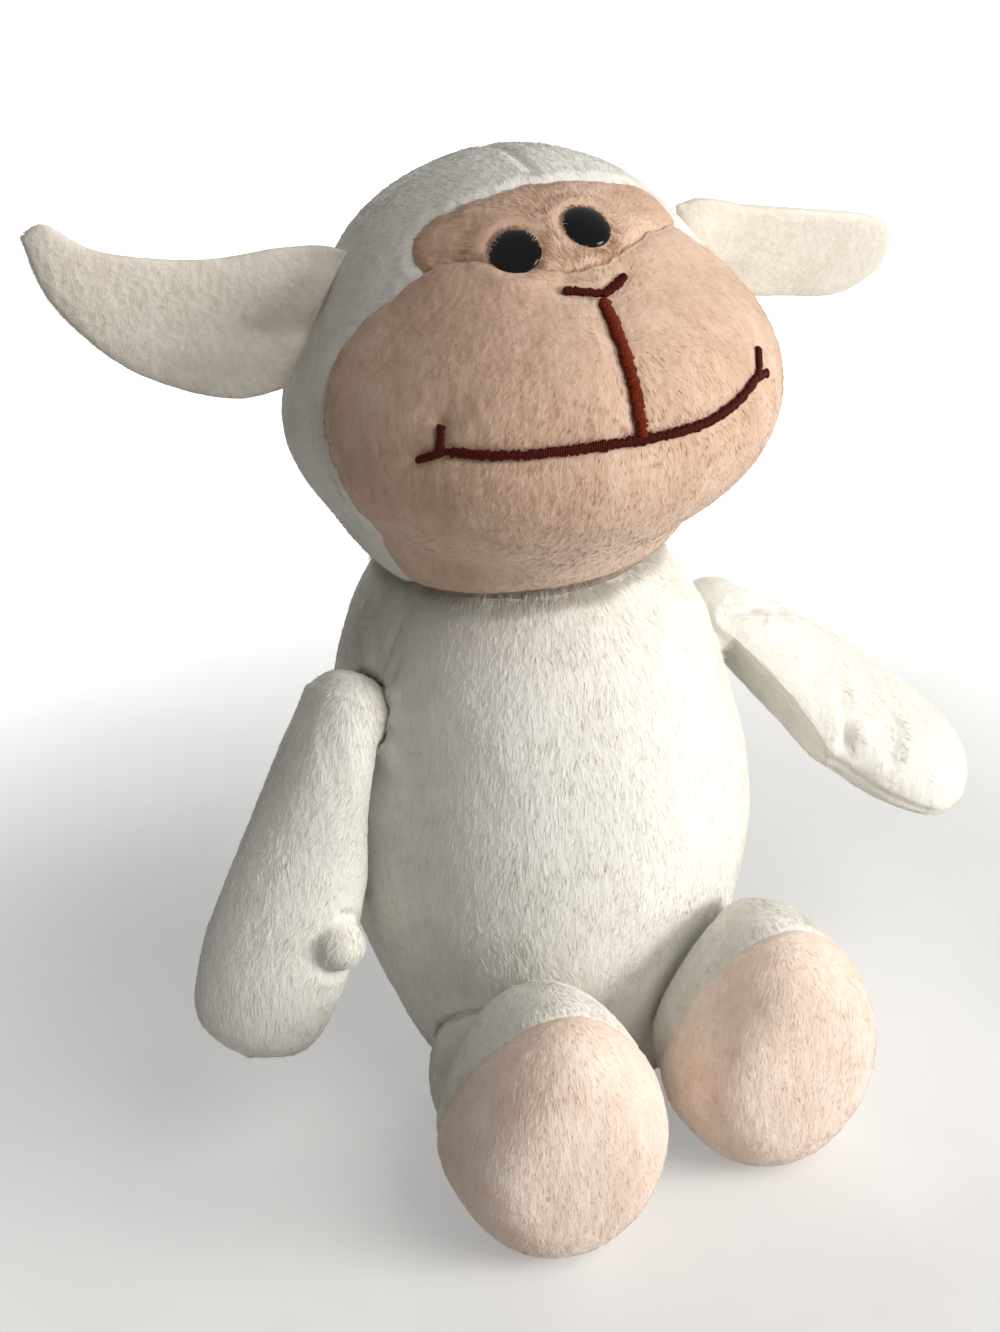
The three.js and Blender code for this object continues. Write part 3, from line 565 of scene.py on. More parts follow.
def dented(p, middle, radius):
    """Points inside a ball go out to its surface."""
    out = p - middle
    far = norms(out)
    return np.where((far < radius)[:, None], middle + unit(out) * radius, p)


def body_form(rows, around):
    """The bag before it is sewn, with the crease under the neck's ball rounded."""
    d = run_of(BODY_LINE)
    s = np.linspace(0, d[-1], rows)
    r, z = np.interp(s, d, BODY_LINE[:, 0]), np.interp(s, d, BODY_LINE[:, 1])
    for _ in range(600):
        edge = 0.5 * hill(z[1:-1] - NECK_LEVEL, 9)
        r[1:-1] += edge * ((r[:-2] + r[2:]) / 2 - r[1:-1])
        z[1:-1] += edge * ((z[:-2] + z[2:]) / 2 - z[1:-1])
    angle = np.arange(around) * 2 * math.pi / around
    depth, lean = body_section(z)
    p = np.stack([
        r[:, None] * np.cos(angle), r[:, None] * np.sin(angle) * depth[:, None] + lean[:, None],
        z[:, None] + 0 * angle,
    ], 2)
    return grid(p)


def make_body():
    rows, around = ((300, 420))
    mesh = new_mesh("body_cover", *body_form(rows, around))
    outward(mesh)
    p, n = surface_of(mesh)
    below_neck = 1 - smooth(p[:, 2], 112, 120)
    above_seat = smooth(p[:, 2], 1, 9)
    seam = np.abs(p[:, 1])
    seam = np.where(np.abs(p[:, 0]) > 8, seam, 99)
    p = sunk(p, n, (0.9 * hill(seam, 1.1) + 0.35 * hill(seam, 4)) * above_seat * below_neck)
    rough = ruffle(p, n, 11)
    p = p + (rough - p) * (above_seat * below_neck)[:, None]
    for side in SIDES:
        at = SHOULDER[side]
        near = norms(p - at)
        ray = np.arctan2(p[:, 2] - at[2], p[:, 1] - at[1])
        pucker = (0.1 + 0.5 * np.cos(9 * ray + 2 * noise(p, 8, 31))) * hill(near - SHOULDER_BALL - 3, 4)
        p = sunk(p, n, pucker)
        p = sunk(p, n, -0.3 * hill(near - SHOULDER_BALL - 1, 1.5))
        hip = norms(p - HIP[side])
        p = sunk(p, n, -0.6 * hill(hip - HIP_BALL - 1, 2))
        p = dented(p, at, SHOULDER_BALL + 0.35)
        p = dented(p, HIP[side], HIP_BALL + 0.35)
    p[:, 2] = np.maximum(p[:, 2], 0)
    move_points(mesh, p)
    obj = piece("body_cover", mesh, "torso", WHITE,
                ("body_front_panel", "body_back_panel", "body_stuffing"))

    def keep(q):
        far = (q[:, 2] > 1.5) & (q[:, 2] < 128)
        for at, radius, _ in SOCKETS:
            far &= norms(q - at) > radius + 0.2
        return far

    def comb(q):
        way = np.array([0.12, 0, -1.0]) + 0 * q
        for at, radius, sign in SOCKETS:
            near = hill(norms(q - at) - radius, 2.2)[:, None]
            way = way * (1 - near) + unit(at + (sign * 6, -4, 0) - q) * near
        return way

    grow(obj, PILE_DENSITY, 1.4, comb, 0.8, 101, WHITE_PILE, keep)

    def collar(q):
        off = np.hypot(q[:, 0], q[:, 1] - NECK_PIVOT[1]) - COLLAR_RADIUS
        return (np.abs(off) < 0.8) & (q[:, 2] > NECK_LEVEL)

    grow(obj, 30, 3.6, lambda q: unit(q - NECK_PIVOT - (0, 0, 60)), 0.57, 115, WHITE_PILE, collar)


# The head: a cap with a brow and a muzzle panel set into it, turned a little on the neck
TURN = turn("Z", HEAD_TURN)


def turned(p):
    return (p - NECK_PIVOT) @ TURN.T + NECK_PIVOT


def unturned(p):
    return (p - NECK_PIVOT) @ TURN + NECK_PIVOT


def head_reach(way):
    total = 0
    for middle, size in HEAD_LUMPS:
        step, start = way / np.array(size), (HEAD_MIDDLE - np.array(middle)) / np.array(size)
        a, b, c = (step**2).sum(1), step @ start, start @ start - 1
        total = total + ((np.sqrt(b * b - a * c) - b) / a) ** HEAD_BLEND
    above = np.degrees(np.arcsin(np.clip(way[:, 2], -1, 1)))
    chin = 2.0 * hill(above + 48, 11) * smooth(-way[:, 1], 0.1, 0.7)
    return total ** (1 / HEAD_BLEND) + chin


def facing(angles):
    aside, above = np.radians(np.asarray(angles, float)).T
    return np.stack([np.sin(aside) * np.cos(above), -np.cos(aside) * np.cos(above), np.sin(above)], 1)


def head_at(way):
    return HEAD_MIDDLE + way * head_reach(way)[:, None]


def outside_head(p):
    out = p - HEAD_MIDDLE
    return norms(out) - head_reach(unit(out))


def head_normal(p):
    slope = [outside_head(p + step) - outside_head(p - step) for step in 0.3 * np.eye(3)]
    return unit(np.stack(slope, 1))


def head_ray(start, way, lift=0.0):
    near, far = np.zeros(len(start)), np.full(len(start), 150.0)
    for _ in range(26):
        reach = (near + far) / 2
        out = outside_head(start + way * reach[:, None]) > 0
        far, near = np.where(out, reach, far), np.where(out, near, reach)
    p = start + way * near[:, None]
    return p + head_normal(p) * lift


def face_point(xz):
    xz = np.asarray(xz, float)
    start = np.stack([xz[:, 0], 0 * xz[:, 0] + HEAD_MIDDLE[1], xz[:, 1]], 1)
    return head_ray(start, np.array([[0.0, -1, 0]]) + 0 * start)


def whole_seam(half):
    return half + [(-aside, above) for aside, above in half[-2:0:-1]]


def ragged_seam(half, steps, seed):
    """A seam all the way round, as its pile hides it: a little uneven."""
    line = spline(head_at(facing(whole_seam(half))), steps, True)[:-1]
    return head_at(unit(line + 0.45 * noise3(line, 2, seed) - HEAD_MIDDLE))


MUZZLE_LINE = ragged_seam(MUZZLE_SEAM, 720, 28)
BROW_LINE = ragged_seam(BROW_SEAM, 480, 29)


def angles_of(p):
    x, y, z = unit(p - HEAD_MIDDLE).T
    return np.degrees(np.stack([np.arctan2(x, -y), np.arcsin(np.clip(z, -1, 1))], 1))


def seam_gap(p, line):
    """How far points are inside a panel's seam, and less than zero outside it."""
    far = gap_to(p, line)
    return np.where(within(angles_of(p), angles_of(line)), far, -far)


NOSE_PATH = spline(NOSE_POINTS, 61)
LINE_PATH = spline(LINE_POINTS, 61)
MOUTH_PATH = spline(MOUTH_POINTS, 121)
END_PATHS = [spline(points, 13) for points in MOUTH_ENDS]
STITCHED = face_point(np.concatenate([NOSE_PATH, LINE_PATH, MOUTH_PATH, *END_PATHS]))


def eye_seats(moved):
    seats = {}
    for side, sign in SIDES.items():
        across, above = EYE_SHIFT[side] if moved else (0, 0)
        seat = face_point([(EYES_MIDDLE + sign * EYE_SPACING / 2 + across, EYE_LEVEL[side] + above)])
        seats[side] = (seat[0], head_normal(seat)[0])
    return seats


EYES = eye_seats(True)
STEMS = eye_seats(False)
EYE_SEATS = [seat for seat, _ in EYES.values()]


def cube_sphere(steps):
    """Directions spread evenly over a sphere."""
    t = np.tan(np.linspace(-1, 1, steps + 1) * math.pi / 4)
    a, b = np.meshgrid(t, t, indexing="ij")
    verts, faces, start = [], [], 0
    for axis in range(3):
        for sign in (-1, 1):
            v = np.empty((steps + 1, steps + 1, 3))
            v[..., axis], v[..., (axis + 1) % 3], v[..., (axis + 2) % 3] = sign, a * sign, b
            verts.append(v.reshape(-1, 3))
            i, j = (g.ravel() for g in np.meshgrid(np.arange(steps), np.arange(steps), indexing="ij"))
            k = start + i * (steps + 1) + j
            faces.append(np.stack([k, k + steps + 1, k + steps + 2, k + 1], 1))
            start += (steps + 1) ** 2
    return unit(np.concatenate(verts)), np.concatenate(faces).tolist()


def head_relief(p, n):
    """The pulls that the sewing makes round the stitched lines and the eyes."""
    far = gap_to(p, STITCHED)
    p = sunk(p, n, 0.45 * hill(far, 1.5) + 0.6 * hill(far, 5))
    for seat in EYE_SEATS:
        near = norms(p - seat)
        p = sunk(p, n, 0.9 * hill(near, 4))
        p = sunk(p, n, -0.5 * hill(near - 6, 2.2))
    return p


def on_neck(p):
    """The head's underside rests on the neck's ball."""
    out = p - NECK_PIVOT
    far = norms(out)[:, None]
    seat = NECK_BALL + NECK_CLEARANCE
    over = far - seat
    soft = np.where(over > 12, over, 2 * np.log1p(np.exp(np.minimum(over, 12) / 2)))
    return NECK_PIVOT + out / far * (seat + soft)


def off_neck(p):
    return norms(p - NECK_PIVOT) > NECK_BALL + 0.8


def panel_gap(p):
    return np.maximum(seam_gap(p, MUZZLE_LINE), seam_gap(p, BROW_LINE))


def make_cap():
    way, faces = cube_sphere(120)
    mesh = new_mesh("head_cap_cover", head_at(way), faces)
    with reworked(mesh) as bm:
        bmesh.ops.remove_doubles(bm, verts=bm.verts, dist=0.01 * MM)
    outward(mesh)
    p, n = surface_of(mesh)
    inside = panel_gap(p)
    p = ruffle(p, n, 21)
    p = sunk(p, n, SEAM_DEPTH * hill(np.minimum(inside, 0), SEAM_WIDTH) + 1.4 * smooth(inside, 0, 2))
    centre = hill(p[:, 0], 1.0) * (p[:, 1] > -10)
    p = sunk(p, n, 0.55 * centre * smooth(-inside, 1, 4))
    move_points(mesh, turned(on_neck(p)))
    obj = piece("head_cap_cover", mesh, "head", WHITE, ("head_cap", "head_stuffing"))

    def keep(q):
        q = unturned(q)
        return (panel_gap(q) < 0.5 * noise(q, 2.5, 24)) & off_neck(q)

    def comb(q):
        return np.array([0, 0.35, -0.6]) + 0.5 * unit(q - HEAD_MIDDLE - (0, -30, 10)) * (1, 1, 0)

    grow(obj, PILE_DENSITY, 1.4, comb, 0.8, 102, WHITE_PILE, keep)


def panel_mesh(name, line, centre, rows, around):
    """A panel as rings from its middle out to its seam."""
    ways = unit(line - HEAD_MIDDLE)[np.linspace(0, len(line), around, endpoint=False).astype(int)]
    middle = facing([centre])
    t = (np.linspace(0, 1, rows) ** 0.9)[:, None, None]
    way = unit((middle[None] * (1 - t) + ways[None] * t).reshape(-1, 3))
    p = head_at(way).reshape(rows, around, 3)
    return new_mesh(name, np.concatenate([p[0, :1], p[1:].reshape(-1, 3)]), rings(rows - 1, around))


def backed(obj, thickness):
    """Gives a panel the thickness of its fabric, inward."""
    solid = obj.modifiers.new("fabric", "SOLIDIFY")
    solid.thickness = thickness * MM
    solid.offset = -1


def make_muzzle():
    mesh = panel_mesh("muzzle_cover", MUZZLE_LINE, (0, 0), *(((130, 480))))
    p, n = surface_of(mesh)
    gap = seam_gap(p, MUZZLE_LINE)
    p = ruffle(head_relief(p, n), n, 22)
    p = sunk(p, n, SEAM_DEPTH * hill(gap, SEAM_WIDTH) - 0.3 * hill(gap - 5, 3))
    move_points(mesh, turned(on_neck(p)))
    obj = piece("muzzle_cover", mesh, "head", TAN, ("muzzle_panel",))
    backed(obj, 0.8)

    def keep(q):
        q = unturned(q)
        far = gap_to(q, STITCHED)
        return (far > 0.9) & off_neck(q)

    def comb(q):
        out = unturned(q) - (0, -45, 178)
        return unit(out * (1, 0.3, 1)) + (0, 0, -0.5)

    grow(obj, PILE_DENSITY, 1.35, comb, 0.84, 103, TAN_PILE, keep, vary=0.07)


def make_brow():
    mesh = panel_mesh("brow_cover", BROW_LINE, (0, 55), *(((70, 320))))
    p, n = surface_of(mesh)
    gap, under = seam_gap(p, BROW_LINE), seam_gap(p, MUZZLE_LINE)
    p = ruffle(head_relief(p, n), n, 23)
    tucked = hill(np.minimum(under, 0), 1.4) + 0.6 * smooth(under, 0, 1.5)
    p = sunk(p, n, SEAM_DEPTH * hill(gap, SEAM_WIDTH) + tucked)
    move_points(mesh, turned(p))
    obj = piece("brow_cover", mesh, "head", TAN, ("brow_panel",))
    backed(obj, 0.5)

    def keep(q):
        q = unturned(q)
        shown = seam_gap(q, MUZZLE_LINE) < -0.1
        for seat in EYE_SEATS:
            shown &= norms(q - seat) > EYE_RADIUS - 0.5 + 0.5 * noise(q, 1.2, 25)
        return shown

    def comb(q):
        q = unturned(q)
        way = unit((q - (0, -30, 182)) * (1, 0.4, 1))
        for seat in EYE_SEATS:
            near = hill(norms(q - seat) - EYE_RADIUS, 1.6)[:, None]
            way = way * (1 - near) + np.array([0, 0, -1.0]) * near
        return way

    grow(obj, PILE_DENSITY, 1.3, comb, 0.75, 104, TAN_PILE, keep, vary=0.05)

    def rim(q):
        q = unturned(q)
        shown = np.zeros(len(q), bool)
        for seat in EYE_SEATS:
            far = norms(q - seat) - EYE_RADIUS
            shown |= (np.abs(far - 0.2) < 0.7) & (noise(q, 1.3, 27) + 0.25 * (q[:, 2] - seat[2]) > 0)
        return shown & (seam_gap(q, MUZZLE_LINE) < -0.1)

    def inward(q):
        q = unturned(q)
        near = [seat - q for seat in EYE_SEATS]
        first = norms(near[0]) < norms(near[1])
        return unit(np.where(first[:, None], near[0], near[1])) + (0, 0, -0.6)

    grow(obj, 22, 1.9, inward, 0.55, 114, TAN_PILE, rim, radius=0.05, vary=0.05)


# Eyes: turned glossy domes with a rounded rim, sunk a little into the pile
def make_eyes():
    for side in SIDES:
        seat, normal = EYES[side]
        profile = EYE_STEM + [
            (EYE_RADIUS * math.cos(t), EYE_BULGE * math.sin(t) ** 0.92 + 0.15)
            for t in np.linspace(0.06, math.pi / 2, 26)[:-1]
        ]
        profile.append((0, EYE_BULGE + 0.15))
        angle = np.arange(64) * math.pi / 32
        r, z = np.array(profile)[:, :1], np.array(profile)[:, 1:]
        local = np.stack([r * np.cos(angle), r * np.sin(angle), z + 0 * angle], 2)
        rotation = np.array(Vector(normal).to_track_quat("Z", "Y").to_matrix())
        verts, faces = grid(local)
        shift = (seat - STEMS[side][0]) * smooth(verts[:, 2:], -5, -1)
        verts = verts @ rotation.T + STEMS[side][0] + shift - normal * 0.6
        mesh = new_mesh(f"eye_{side}_dome", turned(verts), faces)
        outward(mesh)
        piece(f"eye_{side}_dome", mesh, "head", EYE, (f"eye_{side}",))


# Embroidery: satin stitch, thread laid across the line over and over
def satin(xz, width, height, seed):
    """The outline of one stitched line: ridges of thread across a low rounded band."""
    path = face_point(xz)
    d = run_of(path)
    rows = int(d[-1] / STITCH_PITCH * 6) + 3
    s = np.linspace(0, d[-1], rows)
    c = np.stack([np.interp(s, d, path[:, k]) for k in range(3)], 1)
    along = unit(np.gradient(c, axis=0))
    up = head_normal(c)
    across = unit(np.cross(up, along))
    draw = np.random.default_rng(seed)
    strand = np.abs(np.sin(s / STITCH_PITCH * math.pi))
    threads = np.arange(0, d[-1] + 2, STITCH_PITCH)
    ragged = [1 + 0.2 * np.interp(s, threads, draw.normal(0, 1, len(threads))) for _ in range(2)]
    ends = [width * (0.78 + 0.22 * strand) * uneven for uneven in ragged]
    tip = np.sqrt(np.clip(1 - ((s - d[-1] / 2) / (d[-1] / 2)) ** 30, 0.0, 1))
    angle = np.arange(16) * math.pi / 8
    lean = 0.35 * STITCH_PITCH * np.cos(angle)
    wide = np.where(np.cos(angle)[None] > 0, ends[0][:, None], ends[1][:, None])
    tall = height * (0.78 + 0.3 * strand) * tip
    ring = (
        c[:, None] + across[:, None] * (wide * tip[:, None])[:, :, None] * np.cos(angle)[None, :, None]
        + up[:, None] * (tall[:, None, None] * np.sin(angle)[None, :, None])
        + along[:, None] * lean[None, :, None] * tip[:, None, None] - up[:, None] * 0.25
    )
    ring = np.concatenate([np.repeat(c[:1, None], 16, 1), ring[1:-1], np.repeat(c[-1:, None], 16, 1)])
    return grid(ring)


def embroidery(name, forms, material, replaces=()):
    verts, faces = together(forms)
    mesh = new_mesh(name, turned(verts), faces)
    outward(mesh)
    piece(name, mesh, "head", material, replaces)


def make_stitches():
    embroidery("nose_embroidery", [satin(NOSE_PATH, 0.85, 0.55, 41)], MOUTH_THREAD, ("nose_stitch",))
    mouth = [satin(MOUTH_PATH, 0.92, 0.55, 43)]
    mouth += [satin(path, 0.8, 0.5, 44 + k) for k, path in enumerate(END_PATHS)]
    embroidery("mouth_embroidery", mouth, MOUTH_THREAD, ("mouth_stitch",))
    embroidery("nose_line_embroidery", [satin(LINE_PATH, 1.2, 0.6, 42)], NOSE_THREAD)


# Ears: two leaves sewn round the edge, cupped, and gathered where they are sewn on
def ear_frame(side):
    sign = SIDES[side]
    start = np.array([[0, HEAD_MIDDLE[1] + EAR_ROOT_BACK, EAR_ROOT_LEVEL]], float)
    root = head_ray(start, np.array([[sign, 0.0, 0]]), 0.3)[0]
    rotation = turn("Z", EAR_SWEEP[side] * sign) @ turn("Y", -EAR_LIFT[side] * sign)
    rotation = rotation @ turn("X", EAR_TWIST[side])
    return root, rotation @ np.diag([sign, 1.0, 1.0])


def cleared_ear(p, axes, root):
    """An ear's points, moved off the head at every flop."""
    pin = np.array([EAR_THICKNESS / 2, 0, 0])
    for flop in EAR_FLOPS:
        spin = turn("Z", flop)
        q = ((p - pin) @ spin.T + pin) @ axes.T + root
        for _ in range(2):
            q = q + unit(q - HEAD_MIDDLE) * np.maximum(EAR_CLEARANCE - outside_head(q), 0)[:, None]
        p = ((q - root) @ axes - pin) @ spin + pin
    return p


def make_ear(side):
    rows, around = ((150, 128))
    top = spline([(x * EAR_LENGTH, y * EAR_ROOT) for x, y in EAR_TOP[side]], rows)
    low = spline([(x * EAR_LENGTH, y * EAR_ROOT) for x, y in EAR_BOTTOM[side]], rows)
    share = np.linspace(0, 1, rows)[:, None]
    angle = np.arange(around)[None] * 2 * math.pi / around
    middle, half = (top + low) / 2, (top - low) / 2
    rounding = np.minimum(share / 0.12, 1)
    spread = np.sqrt(rounding * (2 - rounding))
    across = np.cos(angle)
    edge = np.sqrt(np.clip(1 - across**2, 0, 1)) ** 0.8
    thick = np.sign(np.sin(angle)) * edge * spread * np.sqrt(1 - share**3) * EAR_THICKNESS / 2
    p = np.stack([
        middle[:, :1] + half[:, :1] * across, thick + 0 * across, middle[:, 1:] + half[:, 1:] * across,
    ], 2)
    mesh = new_mesh(f"ear_{side}_cover", *grid(p))
    outward(mesh)
    p, n = surface_of(mesh)
    out = np.clip(p[:, 0] / EAR_LENGTH, 0, 1)
    aside = p[:, 2] / EAR_ROOT
    fold = hill(aside + 0.35 - 0.25 * out, 0.22) * (1 - smooth(out, 0.05, 0.5))
    p = p + np.array([0, 1.0, 0]) * (1.5 * fold)[:, None]
    p[:, 2] = p[:, 2] * (1 - 0.22 * (1 - smooth(out, 0, 0.12)))
    gather = np.cos(7 * aside + 1) * (1 - smooth(out, 0, 0.22))
    p = p + np.array([0, 0.5, 0]) * gather[:, None]
    p = ruffle(p, n, 51 if side == "left" else 52)
    p[:, 1] -= EAR_CUP * aside**2 * out * (1 - out)
    root, axes = ear_frame(side)
    q = p @ axes.T + root
    back = np.maximum(outside_head(q) - 0.7, 0) * (1 - smooth(p[:, 0], 0, 9))
    p[:, 0] -= np.minimum(back * 1.3, 7)
    p = cleared_ear(p, axes, root)
    move_points(mesh, turned(p @ axes.T + root))
    outward(mesh)
    obj = piece(f"ear_{side}_cover", mesh, f"ear_{side}", EAR,
                (f"ear_{side}_front", f"ear_{side}_back"))
    obj.data.materials.append(WHITE)
    broad = TURN @ axes[:, 1]
    behind = (rows_of(mesh.polygons, "normal") @ broad > 0).astype(np.int32)
    mesh.polygons.foreach_set("material_index", behind)
    along = TURN @ axes[:, 0]
    grow(obj, PILE_DENSITY, 0.9, lambda q: along + 0 * q, 0.84, 105 + SIDES[side], EAR_PILE)


def to_body(p, down):
    """The way a limb's pile lies: along the limb, and over the join where it meets the body."""
    gap, way = body_gap(p)
    near = hill(np.maximum(gap, 0), 2.5)[:, None]
    return down * (1 - near) - 1.5 * way * near


# Arms: flat mittens with a sewn thumb, on a gathered root
def arm_pose(side, swing, lift):
    sign = SIDES[side]
    rotation = turn("X", -swing) @ turn("Y", -sign * lift) @ turn("Z", ARM_TWIST[side])
    return SHOULDER[side], rotation


def cleared_arm(p, side):
    """An arm's points, moved off the body at every lift and swing."""
    for lift, swing in product(ARM_LIFTS, ARM_SWINGS):
        at, rotation = arm_pose(side, ARM_SWING[side] + swing, lift)
        loose = smooth(norms(p), SHOULDER_BALL - 0.5, SHOULDER_BALL + 1.5)[:, None]
        q = p @ rotation.T + at
        p = p + ((clear_of_body(q, ARM_CLEARANCE) - q) @ rotation) * loose
    return p


def mitten(side):
    rows, around = 90, 96
    line = spline([(x * ARM_HALF_WIDTH, y * ARM_LENGTH) for x, y in ARM_OUTLINE], rows)
    line[0, 0] = line[-1, 0] = 0
    r, z = line[:, :1], line[:, 1:]
    if side == "left":
        r = r * (1 + 0.2 * hill(z - ARM_LENGTH * 0.36, 13) - 0.1 * smooth(z, ARM_LENGTH * 0.7, ARM_LENGTH))
    flat = 1 + (ARM_HALF_THICKNESS / ARM_HALF_WIDTH - 1) * smooth(z, 0, ARM_LENGTH * 0.4)
    angle = np.arange(around)[None] * 2 * math.pi / around
    return grid(np.stack([r * np.cos(angle), r * flat * np.sin(angle), -z + 0 * angle], 2))


def arm_relief(p, n, side):
    """The thumb's crease, the seam round the rim, the gathers at the root and the left arm's folds."""
    sign, thumb_at = SIDES[side], THUMB_AT[side]
    crease = np.abs(norms(p - thumb_at) - 6.3)
    crease = crease + 2 * np.maximum((thumb_at[0] - p[:, 0]) * -sign - 1.5, 0)
    p = sunk(p, n, 0.6 * hill(crease, 1.2))
    rim = np.abs(n[:, 1]) < 0.25
    seam = np.where(rim, np.abs(p[:, 1]), 9)
    p = sunk(p, n, 0.5 * hill(seam, 0.9) * smooth(-p[:, 2], 8, 16))
    root = hill(p[:, 2], 11)
    ray = np.arctan2(p[:, 1], p[:, 0])
    gathers = 0.1 + 0.2 * np.cos(8 * ray + 2 * noise(p, 9, 33))
    p = sunk(p, n, root * gathers * smooth(-p[:, 2], -2, 5))
    if side == "left":
        fold = norms((p - (0.5, -9, -4)) * (1, 1, 1.5))
        far = gap_to(p, spline(SHOULDER_FOLD, 30))
        p = sunk(p, n, 1.8 * hill(fold, 2.2) + 0.8 * hill(far, 1.3) - 0.4 * hill(far - 3, 2))
        for groove in THUMB_GROOVES:
            far = gap_to(p, spline(groove, 30))
            p = sunk(p, n, 0.9 * hill(far, 1.3) - 0.3 * hill(far - 3, 2))
    return p


def make_arm(side):
    sign = SIDES[side]
    forms = [mitten(side), ball((0, 0, 0), SHOULDER_BALL), ball(THUMB_AT[side], THUMB_BALL[side])]
    mesh = joined(f"arm_{side}_skin", forms, 0.62, 6)
    p, n = surface_of(mesh)
    p = ruffle(arm_relief(p, n, side), n, 61 + sign)
    p = cleared_arm(p, side)
    at, rotation = arm_pose(side, ARM_SWING[side], ARM_LIFT[side])
    move_points(mesh, p @ rotation.T + at)
    obj = piece(f"arm_{side}_skin", mesh, f"arm_{side}", WHITE,
                (f"arm_{side}_cover", f"arm_{side}_stuffing"))
    down = rotation @ np.array([0, 0, -1.0])

    def keep(q):
        return body_gap(q)[0] > -0.5

    grow(obj, PILE_DENSITY, 1.35, lambda q: to_body(q, down), 0.8, 107 + sign, WHITE_PILE, keep)


# Legs: a gathered hip that swells into an upright foot with a tan sole set into it
def cleared_leg(p, hip):
    """A leg's points, moved off the body at every swing and off the floor at rest."""
    for swing in LEG_SWINGS:
        spin = turn("X", -swing)
        q = (p - hip) @ spin.T + hip
        loose = smooth(norms(q - hip), HIP_BALL - 0.5, HIP_BALL + 3)[:, None]
        p = p + ((clear_of_body(q, LEG_CLEARANCE) - q) @ spin) * loose
    p[:, 2] = np.maximum(p[:, 2], 0)
    return p


def leg_relief(p, n, seed, border):
    """The stuffing's lumps and a seam's border, fading out where the leg rests on the floor."""
    rest = smooth(p[:, 2], 0.5, 5)
    rough = ruffle(p, n, seed)
    return p + (rough - p) * rest[:, None] - n * (border * rest)[:, None]


def foot_form(hip, yaw):
    rows, around = 90, 120
    height = FOOT_REACH - FOOT_BACK
    line = spline([(x * FOOT_HALF_WIDTH, y * height) for x, y in FOOT_OUTLINE], rows)
    line[0, 0] = line[-1, 0] = 0
    r, level = line[:, :1], line[:, 1:]
    angle = np.arange(around)[None] * 2 * math.pi / around
    taper = 1 - FOOT_TAPER * np.maximum(np.sin(angle), 0)
    tall = FOOT_HALF_HEIGHT / FOOT_HALF_WIDTH
    foot = np.stack([
        hip[0] + r * np.cos(angle) * taper, -FOOT_BACK - level + 0 * angle,
        FOOT_HALF_HEIGHT - 0.5 + r * tall * np.sin(angle),
    ], 2)
    verts, faces = grid(foot)
    return (verts - hip) @ yaw.T + hip, faces


def make_leg(side):
    sign, hip = SIDES[side], HIP[side]
    yaw = turn("Z", FOOT_YAW[side])
    forms = [foot_form(hip, yaw), ball(hip, HIP_BALL, 32)]
    mesh = joined(f"leg_{side}_skin", forms, 0.8, 8)
    tilt = math.radians(SOLE_TILT)
    normal = yaw @ np.array([0, -math.cos(tilt), -math.sin(tilt)])
    at = (np.array([hip[0], -SOLE_REACH, FOOT_HALF_HEIGHT]) - hip) @ yaw.T + hip
    sole = mesh.copy()
    sole.name = f"leg_{side}_sole_panel"

    p, n = surface_of(mesh)
    ahead = (p - at) @ normal
    border = 0.8 * hill(np.minimum(ahead, 0), 1.3) + 1.4 * smooth(ahead, 0, 2)
    pull = 0.2 * hill(norms(p - hip) - HIP_BALL - 2, 3) * (p[:, 1] > hip[1] - 14)
    move_points(mesh, cleared_leg(leg_relief(p, n, 71 + sign, border + pull), hip))
    obj = piece(f"leg_{side}_skin", mesh, f"leg_{side}", WHITE,
                (f"leg_{side}_cover", f"leg_{side}_stuffing"))

    def keep(q):
        over = (q - at) @ normal < 0.5 + 0.7 * noise(q, 2, 26)
        return over & (body_gap(q)[0] > -0.5) & (q[:, 2] > 1)

    down = np.array([0, -0.5, -0.8])
    grow(obj, PILE_DENSITY, 1.35, lambda q: to_body(q, down), 0.78, 109 + sign, WHITE_PILE, keep)

    with reworked(sole) as bm:
        whole = bm.verts[:] + bm.edges[:] + bm.faces[:]
        bmesh.ops.bisect_plane(bm, geom=whole, plane_co=at * MM, plane_no=normal, clear_inner=True)
    p, n = surface_of(sole)
    ahead = (p - at) @ normal
    p = leg_relief(p, n, 75 + sign, 0.8 * hill(ahead, 1.3) - 0.3 * hill(ahead - 5, 3))
    p[:, 2] = np.maximum(p[:, 2], 0)
    move_points(sole, p)
    obj = piece(f"leg_{side}_sole_panel", sole, f"leg_{side}", SOLE, (f"leg_{side}_sole",))
    backed(obj, 0.8)
    grow(obj, PILE_DENSITY, 1.35, lambda q: np.array([0, 0, -1.0]) + 0 * q, 0.82, 111 + sign, SOLE_PILE,
         lambda q: q[:, 2] > 1)


make_body()
make_cap()
make_muzzle()
make_brow()
make_eyes()
make_stitches()
for side in SIDES:
    make_ear(side)
    make_arm(side)
    make_leg(side)

# What stays of the CAD: the washers behind the eyes and the sewing threads
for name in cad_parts:
    obj = bpy.data.objects.get(name)
    if obj is None or obj.hide_render:
        continue
    finish = WASHER if "washer" in name else SEWING
    for slot in obj.material_slots:
        slot.link = "OBJECT"
        slot.material = finish


# Floor, light and camera: the floor and the lamps in metres, the camera in millimetres and pixels
FLOOR = 6.0
PHOTO_FOCUS, PHOTO_HEIGHT = 1994, 1332
CAMERA_BACK = Vector((-0.4077, -0.7832, 0.4695))
CAMERA_RIGHT = Vector((0.873, -0.485, -0.051))
CAMERA_UP = Vector((0.2675, 0.3891, 0.8814))
CAMERA_AIM = Vector((-14.5, -10, 106))
CAMERA_DISTANCE = 382


